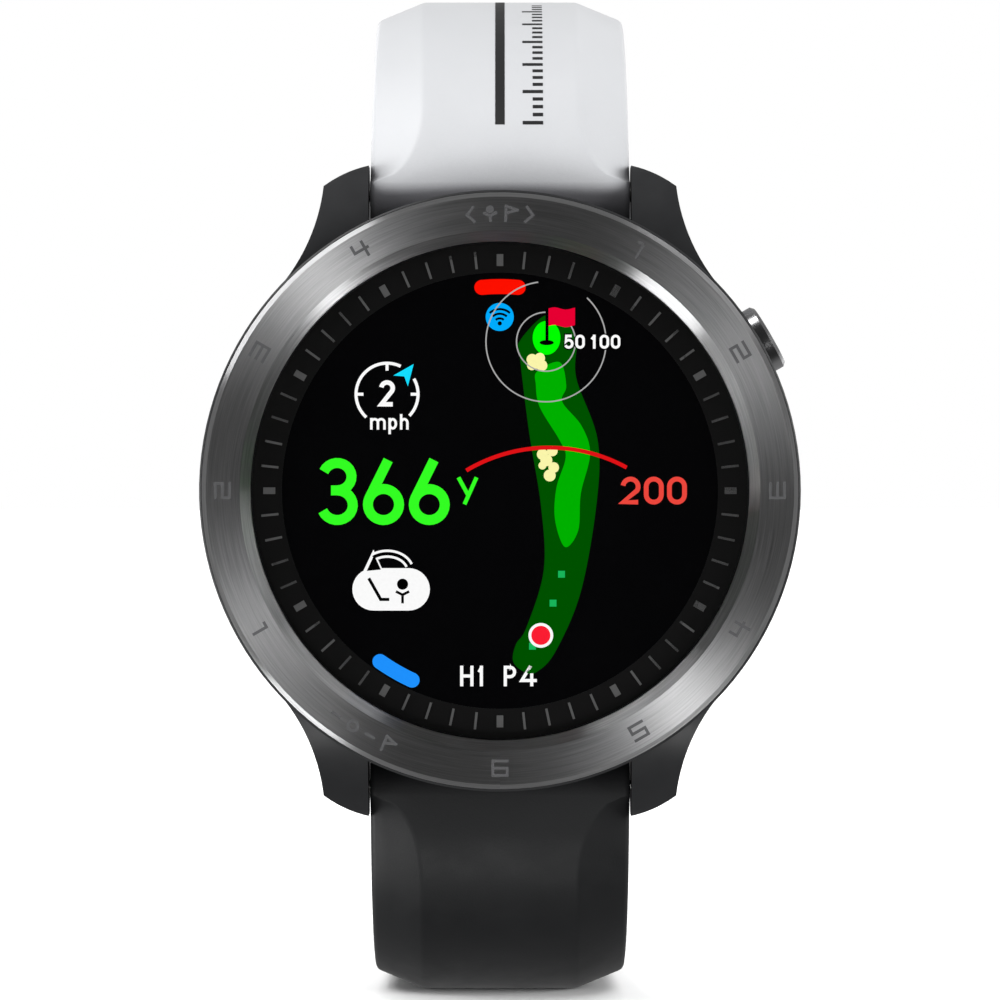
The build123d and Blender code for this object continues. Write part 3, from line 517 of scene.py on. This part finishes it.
rings, lower_length = strap_rings(LOWER_BEGIN, LOWER_LEGS, -1, LOWER_SHAPE)
lower_rubber = ring_mesh("strap_lower_rubber", rings)
for vertex in lower_rubber.data.vertices:
    vertex.co.z = max(vertex.co.z, 0)
tools = [knob_window(-1)]
for index in range(HOLE_COUNT):
    at = lower_length - LAST_HOLE - HOLE_STEP * index
    centre, inward, travel = strap_frame(LOWER_BEGIN, LOWER_LEGS, -1, at)
    thick = reading(LOWER_SHAPE["thicks"], at)
    profile = [(-1.0, HOLE_RADIUS + HOLE_ROUND)]
    for step in range(5):
        turn = math.radians(90 - 22.5 * step)
        profile.append((HOLE_ROUND * (1 - math.sin(turn)),
                        HOLE_RADIUS + HOLE_ROUND * (1 - math.cos(turn))))
    profile += [(thick - y, radius) for y, radius in reversed(profile)]
    tools.append(ring_mesh("hole", [[dial_centre + (centre + inward * y + (
        Vector((1, 0, 0)) * math.cos(k * math.tau / HOLE_SIDES)
        + travel * math.sin(k * math.tau / HOLE_SIDES)) * radius) * MM
        for k in range(HOLE_SIDES)] for y, radius in profile]))
cut(lower_rubber, tools)

rings, upper_length = strap_rings(UPPER_BEGIN, UPPER_LEGS, 1, UPPER_SHAPE)
end_centre, end_inward, end_travel = strap_frame(UPPER_BEGIN, UPPER_LEGS, 1, upper_length)
END_THICK = 3.3             # of the upper strap at its buckle end
END_HALF, END_RIDGE = 9.0, 6.6
end_bar = end_centre + end_inward * END_THICK / 2
for turn in (12, 26, 40, 54, 67, 78, 86):
    turned = math.radians(turn)
    outer = end_bar - end_inward * END_THICK / 2 * math.cos(turned) \
        + end_travel * END_THICK / 2 * math.sin(turned)
    rings.append(ring_points((outer, end_inward, end_travel), END_HALF - 0.3 * turn / 86,
                             END_RIDGE, END_THICK * math.cos(turned)))
upper_rubber = ring_mesh("strap_upper_rubber", rings)
cut(upper_rubber, [knob_window(1),
                   block("slot", end_bar + end_travel * 2.8, end_travel, (3.0, 9.0, 12.0), 0.3)])


TAIL_ROOM = 3.2             # room for the tail under a keeper
KEEPER_WALL, KEEPER_LENGTH = 1.3, 4.0


def keeper(name, distance, side_gap, under_gap):
    """A moulded loop round the upper strap, KEEPER_LENGTH long, with soft edges."""
    centre, inward, travel = strap_frame(UPPER_BEGIN, UPPER_LEGS, 1, distance)
    half = reading(UPPER_SHAPE["widths"], distance) + side_gap
    low, high = -TAIL_ROOM, END_THICK + under_gap
    wide, tall = half + KEEPER_WALL / 2, (high - low + KEEPER_WALL) / 2
    path = softened([(-wide, -tall), (wide, -tall), (wide, tall), (-wide, tall)], [1.5] * 4, 8)
    path = filled_in(path, {8: 10, 17: 3, 26: 10, 35: 3})
    wall = softened([(-KEEPER_WALL / 2, 0), (KEEPER_WALL / 2, 0), (KEEPER_WALL / 2, KEEPER_LENGTH),
                     (-KEEPER_WALL / 2, KEEPER_LENGTH)], [0.4] * 4, 5)
    wall = filled_in(wall, {11: 4, 23: 4})
    middle = centre + inward * (low + high) / 2
    rings = []
    for i, point in enumerate(path):
        run = path[(i + 1) % len(path)] - path[i - 1]
        out = Vector((run.y, -run.x)).normalized()
        rings.append([dial_centre + (middle + Vector((1, 0, 0)) * (point.x + out.x * w.x)
                                     + inward * (point.y + out.y * w.x) + travel * w.y) * MM
                      for w in wall])
    return ring_mesh(name, rings, closed=True)


free_loop = keeper("keeper_free_rubber", 64.0, 0.25, 0.25)
fixed_loop = keeper("keeper_fixed_rubber", 74.0, 0.04, 0.04)
for piece, body, node, slot, material in (
        (lower_rubber, "lower_strap", "lower_strap", "strap_black", strap_black),
        (upper_rubber, "upper_strap", "upper_strap", "strap_white", strap_white),
        (free_loop, "free_keeper", "free_keeper", "strap_white", strap_white),
        (fixed_loop, "upper_strap", "fixed_keeper", "strap_white", strap_white)):
    smooth_shaded(piece)
    piece.data.materials.clear()
    piece.data.materials.append(material)
    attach(piece, body)
    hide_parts(node)

# ---------------------------------------------------------------- springs
COIL_STEPS, WIRE_SIDES = 24, 10     # points round one turn, and round the wire


def coil(node, body, begin, way, length, radius, wire, turns):
    """A wound spring in place of a CAD one, wound from begin along way.
    """
    across = Vector((0, 1, 0))
    third = way.cross(across)
    rings = []
    for i in range(turns * COIL_STEPS + 1):
        turn = i * math.tau / COIL_STEPS
        out = across * math.cos(turn) + third * math.sin(turn)
        run = (third * math.cos(turn) - across * math.sin(turn)) * math.tau * radius \
            + way * length / turns
        side = run.normalized().cross(out)
        centre = begin + way * length * i / (turns * COIL_STEPS) + out * radius
        rings.append([centre + (out * math.cos(k * math.tau / WIRE_SIDES)
                                + side * math.sin(k * math.tau / WIRE_SIDES)) * wire / 2
                      for k in range(WIRE_SIDES)])
    piece = ring_mesh(node.replace("spring", "coil"), rings)
    smooth_shaded(piece, 60)
    piece.data.materials.append(steel)
    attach(piece, body)
    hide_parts(node)
    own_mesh(piece)


BAR_WIRE, BUTTON_WIRE = 0.14 * MM, 0.22 * MM
BUTTON_COIL = 2.39 * MM             # its length at rest
for half in ("upper", "lower"):
    low, high = (Vector(corner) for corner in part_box(half + "_bar_spring"))
    middle = (low + high) / 2
    span = high.x - low.x - BAR_WIRE
    coil(half + "_bar_spring", half + "_strap",
         Vector((low.x + BAR_WIRE / 2, middle.y, middle.z)), Vector((1, 0, 0)), span,
         (high.y - low.y - BAR_WIRE) / 2, BAR_WIRE, 6)
low, high = (Vector(corner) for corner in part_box("button_spring"))
PRESS = math.radians(60)            # the button's clock angle
press_way = Vector((math.sin(PRESS), 0, math.cos(PRESS)))
coil("button_spring", "case",
     (low + high) / 2 - press_way * BUTTON_COIL / 2, press_way, BUTTON_COIL,
     (high.y - low.y - BUTTON_WIRE) / 2, BUTTON_WIRE, 4)

# ---------------------------------------------------------------- drawing on the display
LAYER = 0.0075              # thickness of one drawn layer, in millimetres
DRAWING_DEPTH = 1.988       # back of the deepest layer, behind the bezel's front


def arc(cx, cy, rx, ry, start, end, steps=16):
    """Points on an ellipse; angles in degrees, anticlockwise from 3 o'clock."""
    turns = [math.radians(start + (end - start) * i / steps) for i in range(steps + 1)]
    return [(cx + rx * math.cos(t), cy + ry * math.sin(t)) for t in turns]


def clock_arc(cx, cy, radius, start, end, steps=24):
    return arc(cx, cy, radius, radius, 90 - start, 90 - end, steps)


def ribbon(points, width, closed=False):
    """Quads of a line of even width through points, mitred at its corners."""
    points = [Vector(p) for p in points]
    if closed and (points[0] - points[-1]).length < 1e-6:
        points.pop()
    count = len(points)
    left, right = [], []
    for i, point in enumerate(points):
        before = points[i - 1] if i or closed else None
        after = points[(i + 1) % count] if i < count - 1 or closed else None
        into = (point - before).normalized() if before is not None else None
        out = (after - point).normalized() if after is not None else None
        first, last = into or out, out or into
        side = Vector((-first.y - last.y, first.x + last.x)).normalized()
        reach = width / 2 / max(side.dot(Vector((-first.y, first.x))), 0.45)
        left.append(tuple(point + side * reach))
        right.append(tuple(point - side * reach))
    spans = count if closed else count - 1
    return [[right[i], right[(i + 1) % count], left[(i + 1) % count], left[i]]
            for i in range(spans)]


def disc(cx, cy, rx, ry=None, steps=40):
    return [arc(cx, cy, rx, ry or rx, 0, 360, steps)[:-1]]


def smooth_loop(points, steps=6):
    """A closed smooth outline through a few points."""
    count = len(points)
    outline = []
    for i in range(count):
        a, b, c, d = (Vector(points[(i + k) % count]) for k in (-1, 0, 1, 2))
        for step in range(steps):
            t = step / steps
            outline.append(tuple(0.5 * (2 * b + (c - a) * t + (2 * a - 5 * b + 4 * c - d) * t * t
                                        + (3 * b - a - 3 * c + d) * t ** 3)))
    return [outline]


def glyph_paths(name, k):
    """Centre lines of one sign in a unit box; k is half its width over its height."""
    if name == "0":
        return [(arc(0.5, 1 - k, 0.5, k, 0, 180) + arc(0.5, k, 0.5, k, 180, 360), True)]
    if name == "1":
        return [([(0.75, 1.0), (0.75, 0.0)], False), ([(0.25, 0.8), (0.7, 0.97)], False)]
    if name == "2":
        return [(arc(0.5, 1 - k, 0.5, k, 172, -32) + [(0.0, 0.0), (1.0, 0.0)], False)]
    if name == "3":
        return [(arc(0.5, 0.76, 0.46, 0.24, 158, -90), False),
                ([(0.3, 0.52), (0.55, 0.52)], False),
                (arc(0.5, 0.26, 0.5, 0.26, 90, -158), False)]
    if name == "4":
        return [([(0.6, 1.0), (0.0, 0.24), (1.0, 0.24)], False),
                ([(0.74, 0.56), (0.74, 0.0)], False)]
    if name == "5":
        return [([(0.92, 1.0), (0.15, 1.0), (0.06, 0.5)]
                 + arc(0.48, 0.32, 0.52, 0.32, 128, -155), False)]
    if name == "6":
        return [(arc(0.5, k, 0.5, k, 0, 360, 28), True),
                ([(0.65, 1.05), (0.5 + 0.5 * math.cos(2.67), k + k * math.sin(2.67))], False)]
    if name == "H":
        return [([(0, 0), (0, 1)], False), ([(1, 0), (1, 1)], False),
                ([(0, 0.5), (1, 0.5)], False)]
    if name == "P":
        return [([(0, 0), (0, 1)], False),
                ([(0, 1), (0.5, 1)] + arc(0.5, 0.73, 0.5, 0.27, 90, -90) + [(0, 0.46)], False)]
    if name == "m":
        return [([(0, 0), (0, 1)], False),
                (arc(0.25, 0.68, 0.25, 0.32, 180, 0) + [(0.5, 0)], False),
                (arc(0.75, 0.68, 0.25, 0.32, 180, 0) + [(1, 0)], False)]
    if name == "p":
        return [([(0, 1), (0, -0.5)], False), (arc(0.5, 0.5, 0.5, 0.5, 0, 360), True)]
    if name == "h":
        return [([(0, 1.42), (0, 0)], False), (arc(0.5, 0.6, 0.5, 0.4, 180, 0) + [(1, 0)], False)]
    return [([(0, 1), (0.52, 0)], False), ([(1, 1), (0.36, -0.5)], False)]      # y


SQUARE_ENDED = "14HPmphy"       # signs whose open strokes run half a stroke past their ends


def write(text, spans, low, high, stroke):
    """Signs between (left, right) spans, standing on low."""
    shapes = []
    for name, (left, right) in zip(text, spans):
        width, height = right - left - stroke, high - low - stroke
        for points, closed in glyph_paths(name, 0.5 * width / height):
            placed = [Vector((left + stroke / 2 + u * width, low + stroke / 2 + v * height))
                      for u, v in points]
            if name in SQUARE_ENDED and not closed:
                for end, beside in ((0, 1), (-1, -2)):
                    way = (placed[end] - placed[beside]).normalized()
                    placed[end] = placed[end] + way * stroke / 2
            shapes += ribbon(placed, stroke, closed)
    return shapes


def lit(name, *shades):
    """Lit pixels of one colour."""
    color = seen(*shades)
    material = principled(name, (0, 0, 0), 0.5, Emission_Strength=1.0, Specular_IOR_Level=0.0)
    grain = noise(material, place_from(material), 5000, 2.0)
    feed(material, "Emission Color", blend_colors(material, grain, tuple(c * 0.95 for c in color),
                                                  tuple(min(c * 1.05, 1) for c in color)))
    return material


def draw(name, material, layer, shapes):
    """One thin closed mesh on the display, shapes being outlines in millimetres."""
    back = front_y + (DRAWING_DEPTH - layer * LAYER) * MM
    front = back - 0.9 * LAYER * MM
    places, corners, faces, edges = {}, [], [], {}
    for outline in shapes:
        area = sum(a[0] * b[1] - b[0] * a[1] for a, b in zip(outline, outline[1:] + outline[:1]))
        loop = []
        for u, v in (outline if area > 0 else outline[::-1]):
            key = (round(u, 4), round(v, 4))
            if key not in places:
                places[key] = len(corners)
                corners.append(key)
            if not loop or loop[-1] != places[key]:
                loop.append(places[key])
        if len(loop) > 2:
            faces.append(loop)
            for a, b in zip(loop, loop[1:] + loop[:1]):
                edges[(a, b)] = True
    count = len(corners)
    points = [(dial_x + u * MM, y, dial_z + v * MM) for y in (front, back) for u, v in corners]
    solid = list(faces)
    solid += [[index + count for index in reversed(face)] for face in faces]
    solid += [[b, a, a + count, b + count] for a, b in edges if (b, a) not in edges]
    mesh = bpy.data.meshes.new(name)
    mesh.from_pydata(points, [], solid)
    mesh.materials.append(material)
    piece = bpy.data.objects.new(name, mesh)
    bpy.context.scene.collection.objects.link(piece)
    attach(piece, "case")
    return piece


white = lit("pixels_white", 250, 250, 250)
black = lit("pixels_black", 2, 2, 2)
green_numbers = lit("pixels_green", 51, 255, 35)
red_arc = lit("pixels_red", 222, 18, 22)

rough_edge = [(3.36, 13.2), (1.5, 11.3), (1.5, 10.1), (2.2, 4.4), (3.1, -1.2), (3.3, -6.0),
              (2.0, -10.3), (1.2, -11.6), (1.0, -12.9), (1.9, -13.7), (2.8, -13.65), (4.2, -12.1),
              (6.1, -7.6), (7.3, -0.8), (7.35, 3.9), (5.75, 8.5), (5.75, 11.3), (4.8, 12.8)]
draw("map_rough", lit("pixels_rough", 0, 80, 0), 0, smooth_loop(rough_edge, 10))
fairway_edge = [(2.7, 8.0), (3.0, 6.3), (4.5, 3.8), (4.95, 2.5), (4.25, 0.2), (4.15, -2.2),
                (4.9, -4.25), (5.9, -3.0), (6.1, -0.2), (6.8, 2.8), (6.15, 4.9), (4.7, 6.7),
                (5.0, 7.9), (4.5, 9.7), (2.8, 9.0)]
draw("map_fairway", lit("pixels_fairway", 0, 175, 0), 1, smooth_loop(fairway_edge, 10))
draw("map_green", lit("pixels_putting", 0, 255, 0), 2, disc(3.51, 11.53, 1.05, 1.28))
squares = []
for x, y in ((4.64, -6.3), (4.0, -8.48), (2.45, -11.73)):
    low_x, high_x, low_y, high_y = x - 0.26, x + 0.26, y - 0.26, y + 0.26
    squares.append([(low_x, low_y), (high_x, low_y), (high_x, high_y), (low_x, high_y)])
draw("map_hazards", lit("pixels_teal", 25, 180, 90), 1, squares)
bunkers = []
for x, y, radius in ((2.42, 9.9, 0.42), (3.0, 10.0, 0.4), (2.4, 9.45, 0.36), (3.15, 9.45, 0.42),
                     (2.8, 9.7, 0.5), (3.2, 2.75, 0.42), (3.95, 3.0, 0.4), (3.5, 2.3, 0.45),
                     (4.05, 1.75, 0.4), (3.75, 1.15, 0.45), (3.2, 1.9, 0.3)):
    bunkers += disc(x, y, radius, steps=24)
draw("map_bunkers", lit("pixels_sand", 250, 245, 170), 3, bunkers)
PIN = (3.47, 11.24)         # middle of the distance rings round the flag
rings = ribbon(clock_arc(*PIN, 2.225, 0, 360, 60), 0.1, True)
rings += ribbon(clock_arc(*PIN, 4.53, 43, 352.5, 90), 0.1)
draw("map_rings", lit("pixels_grey", 170, 170, 170), 4, rings)
draw("map_range_arc", red_arc, 5,
     ribbon(arc(3.7, -8.9, 12.15, 12.15, 120.9, 61.2, 40), 0.3))
draw("map_pole", black, 5, disc(3.52, 11.17, 0.53, 0.19)
     + [[(3.43, 11.2), (3.66, 11.2), (3.66, 13.7), (3.43, 13.7)]])
flag = [(3.66 + 2.0 * i / 8, 13.75 + 0.09 * math.sin(i * 0.9)) for i in range(9)]
flag += [(3.66 + 2.0 * i / 8, 12.42 + 0.09 * math.sin(i * 0.9)) for i in range(8, -1, -1)]
draw("map_flag", lit("pixels_flag", 230, 0, 50), 5, [flag])
PLAYER = (3.08, -10.91)
draw("map_spot_rim", white, 5, disc(*PLAYER, 0.935))
draw("map_spot", lit("pixels_spot", 250, 30, 50), 6, disc(*PLAYER, 0.72))

range_spans = [(4.83, 5.55), (5.68, 6.40), (6.80, 7.28), (7.51, 8.23), (8.36, 9.08)]
draw("range_rings_outline", black, 5,
     write("50100", [(a - 0.1, b + 0.1) for a, b in range_spans], 10.61, 11.87, 0.42))
draw("range_rings_text", white, 6, write("50100", range_spans, 10.71, 11.77, 0.2))
draw("distance_text", green_numbers, 0,
     write("366", [(-13.83, -10.73), (-10.34, -7.24), (-6.88, -3.79)], -2.59, 2.47, 0.75)
     + write("y", [(-3.21, -1.68)], -0.45, 1.02, 0.3))
draw("range_text", lit("pixels_range", 235, 70, 60), 0,
     write("200", [(9.1, 10.6), (10.85, 12.35), (12.6, 14.1)], -1.04, 1.06, 0.36))
draw("hole_text", white, 0,
     write("H1P4", [(-3.01, -2.0), (-1.72, -1.22), (0.28, 1.22), (1.52, 2.78)], -14.75, -13.2,
           0.24))
draw("wind_text", white, 0, write("2", [(-9.12, -7.92)], 6.35, 8.34, 0.34)
     + write("mph", [(-9.8, -8.62), (-8.42, -7.76), (-7.55, -6.89)], 4.61, 5.49, 0.19))
GAUGE, GAUGE_RADIUS, GAUGE_TICK = (-8.52, 7.28), 2.34, 1.78
GAUGE_LINE = 0.23
gauge = ribbon(clock_arc(*GAUGE, GAUGE_RADIUS, 60, 134, 20), GAUGE_LINE)
gauge += ribbon(clock_arc(*GAUGE, GAUGE_RADIUS, 222, 386, 40), GAUGE_LINE)
for turn in (0, 90, 270):
    gauge += ribbon(clock_arc(*GAUGE, GAUGE_RADIUS, turn, turn, 1)[:1]
                    + clock_arc(*GAUGE, GAUGE_TICK, turn, turn, 1)[:1], GAUGE_LINE)
draw("wind_gauge", white, 0, gauge)
draw("wind_arrow", lit("pixels_cyan", 20, 220, 255), 1,
     [[(-6.51, 9.56), (-8.05, 8.69), (-7.22, 8.62)],
      [(-6.51, 9.56), (-7.22, 8.62), (-6.95, 7.88)]])

pill = arc(-6.89, -7.44, 1.6, 1.6, -90, 90) + arc(-9.54, -7.44, 1.6, 1.6, 90, 270)
swing = arc(-8.5, -6.1, 1.75, 1.35, 20, 128, 20)
draw("swing_panel", white, 0, [pill] + ribbon(swing, 0.62)
     + [[(-10.4, -6.25), (-8.75, -6.2), (-9.55, -4.45)]])
draw("swing_sign", black, 1, ribbon(swing, 0.26)
     + [[(-10.05, -6.05), (-8.98, -5.95), (-9.5, -4.85)]]
     + disc(-7.35, -7.05, 0.42) + ribbon([(-7.85, -7.6), (-7.35, -7.85), (-6.85, -7.6)], 0.2)
     + ribbon([(-7.35, -7.8), (-7.35, -8.5)], 0.2)
     + ribbon([(-9.9, -6.6), (-9.0, -8.2), (-8.35, -8.2)], 0.24))
draw("signal_disc", lit("pixels_azure", 0, 170, 255), 1, disc(-0.02, 13.11, 1.06))
signal = disc(-0.02, 12.62, 0.16)
for radius in (0.45, 0.8, 1.15):
    signal += ribbon(clock_arc(-0.02, 12.55, radius, -42, 42, 12), 0.17)
draw("signal_sign", black, 2, signal)
SCORE_BAR_TURN, SCORE_BAR_WIDTH = 5.1, 1.13         # half its turn in degrees, and its width
for name, color, clock, radius in (("score_bar_red", (255, 15, 0), 0, 15.4),
                                   ("score_bar_blue", (30, 144, 255), 210, 15.75)):
    start, end = clock - SCORE_BAR_TURN, clock + SCORE_BAR_TURN
    bar = ribbon(clock_arc(0, 0, radius, start, end, 16), SCORE_BAR_WIDTH)
    for tip in clock_arc(0, 0, radius, start, end, 1):
        bar += disc(*tip, SCORE_BAR_WIDTH / 2)
    draw(name, lit("pixels_" + name, *color), 2, bar)

# ---------------------------------------------------------------- floor, world and lights
FLOOR_HALF = 20.0
floor_mesh = bpy.data.meshes.new("floor")
floor_mesh.from_pydata([(-FLOOR_HALF, -FLOOR_HALF, 0), (FLOOR_HALF, -FLOOR_HALF, 0),
                        (FLOOR_HALF, FLOOR_HALF, 0), (-FLOOR_HALF, FLOOR_HALF, 0)], [],
                       [(0, 1, 2, 3)])
floor = bpy.data.objects.new("floor", floor_mesh)
bpy.context.scene.collection.objects.link(floor)
floor_mesh.materials.append(moulded("floor_white", (0.93, 0.93, 0.93), 0.8, mottle=0.01,
                                    Specular_IOR_Level=0.0))
# the low softboxes shine through the floor, which throws no light or reflection back
floor.visible_shadow = False
floor.visible_glossy = False
floor.visible_diffuse = False

CAMERA_WHITE = 1.0
AMBIENT = 0.50              # light on matt surfaces
REFLECTED_FRONT = 0.045     # what gloss sees between the softboxes before the dial
REFLECTED_BEHIND = 0.40     # and to the sides of the watch and behind it
world = bpy.data.worlds.new("studio")
bpy.context.scene.world = world
world.use_nodes = True
tree = world.node_tree
rays = tree.nodes.new("ShaderNodeLightPath")
glossy_level = tree.nodes.new("ShaderNodeMapRange")
glossy_level.inputs["To Min"].default_value = AMBIENT
way = tree.nodes.new("ShaderNodeSeparateXYZ")
tree.links.new(tree.nodes.new("ShaderNodeTexCoord").outputs["Generated"], way.inputs[0])
studio_depth = tree.nodes.new("ShaderNodeMapRange")
for socket, value in (("From Min", -0.25), ("From Max", 0.3), ("To Min", REFLECTED_FRONT),
                      ("To Max", REFLECTED_BEHIND)):
    studio_depth.inputs[socket].default_value = value
tree.links.new(way.outputs["Y"], studio_depth.inputs["Value"])
tree.links.new(studio_depth.outputs["Result"], glossy_level.inputs["To Max"])
tree.links.new(rays.outputs["Is Glossy Ray"], glossy_level.inputs["Value"])
camera_level = tree.nodes.new("ShaderNodeMapRange")
camera_level.inputs["To Max"].default_value = CAMERA_WHITE
tree.links.new(rays.outputs["Is Camera Ray"], camera_level.inputs["Value"])
tree.links.new(glossy_level.outputs["Result"], camera_level.inputs["To Min"])
backdrop = tree.nodes["Background"]
backdrop.inputs["Color"].default_value = (1, 1, 1, 1)
tree.links.new(camera_level.outputs["Result"], backdrop.inputs["Strength"])


def lit_group(name, state, *members):
    """Objects that a light is kept to (INCLUDE), or kept off (EXCLUDE)."""
    group = bpy.data.collections.new(name)
    for member in members:
        group.objects.link(member)
    for row in group.collection_objects:
        row.light_linking.link_state = state
    return group


bezel_only = lit_group("bezel_only", "INCLUDE", nodes["bezel"], nodes["bezel_markings"])
all_but_bezel = lit_group("all_but_bezel", "EXCLUDE", nodes["bezel"],
                          nodes["bezel_markings"])


def softbox(name, clock, off_axis, distance, size, power, receivers=None):
    """A rectangular light seen from the dial at a clock angle and an angle off its axis.

    Its first size runs round the dial, its second away from the dial's axis.
    """
    data = bpy.data.lights.new(name, "AREA")
    data.shape = "RECTANGLE"
    data.size, data.size_y = size
    data.energy = power
    light = bpy.data.objects.new(name, data)
    light.visible_camera = False
    light.light_linking.receiver_collection = receivers
    bpy.context.scene.collection.objects.link(light)
    turn, off = math.radians(clock), math.radians(off_axis)
    way = Vector((math.sin(off) * math.sin(turn), -math.cos(off), math.sin(off) * math.cos(turn)))
    round_way = Vector((math.cos(turn), 0, -math.sin(turn)))
    away = way.cross(round_way)
    light.location = dial_centre + way * distance
    basis = [round_way, away, way]
    light.rotation_euler = Matrix(basis).transposed().to_euler()
    return light


# name, clock angle, angle off the dial's axis, distance, size, power
for row in (("streak_lower_right", 139, 36, 0.60, (0.05, 0.30), 1.1),
            ("streak_upper_left", 329, 50, 0.60, (0.06, 0.30), 0.06),
            ("streak_lower_left", 241, 30, 0.60, (0.07, 0.20), 0.42),
            ("streak_right", 74, 45, 0.60, (0.12, 0.30), 0.06),
            ("glint_lower_left", 222, 83, 0.50, (0.16, 0.10), 0.8),
            ("glint_upper_right", 43, 86, 0.55, (0.30, 0.08), 0.3),
            ("glint_upper_left", 314, 106, 0.50, (0.36, 0.16), 1.1)):
    softbox(*row, receivers=bezel_only)
for row in (("side_left", 258, 70, 0.60, (0.30, 0.30), 2.3),
            ("side_right", 74, 70, 0.60, (0.30, 0.30), 2.3),
            ("front_upper", 325, 76, 0.60, (0.30, 0.20), 1.9),
            ("front_lower", 184, 26, 0.60, (0.30, 0.10), 0.6),
            ("back_left", 290, 142, 0.60, (0.40, 0.40), 0.7),
            ("back_right", 70, 138, 0.60, (0.40, 0.40), 0.6)):
    softbox(*row, receivers=all_but_bezel)

# an overhead light for the floor alone, so that the watch has a soft shadow on white
overhead = bpy.data.objects.new("overhead", bpy.data.lights.new("overhead", "SUN"))
overhead.data.energy = 3.2
overhead.data.angle = math.radians(75)
overhead.rotation_euler = (math.radians(-12), math.radians(6), 0)
bpy.context.scene.collection.objects.link(overhead)
overhead.light_linking.receiver_collection = lit_group("floor_only", "INCLUDE", floor)
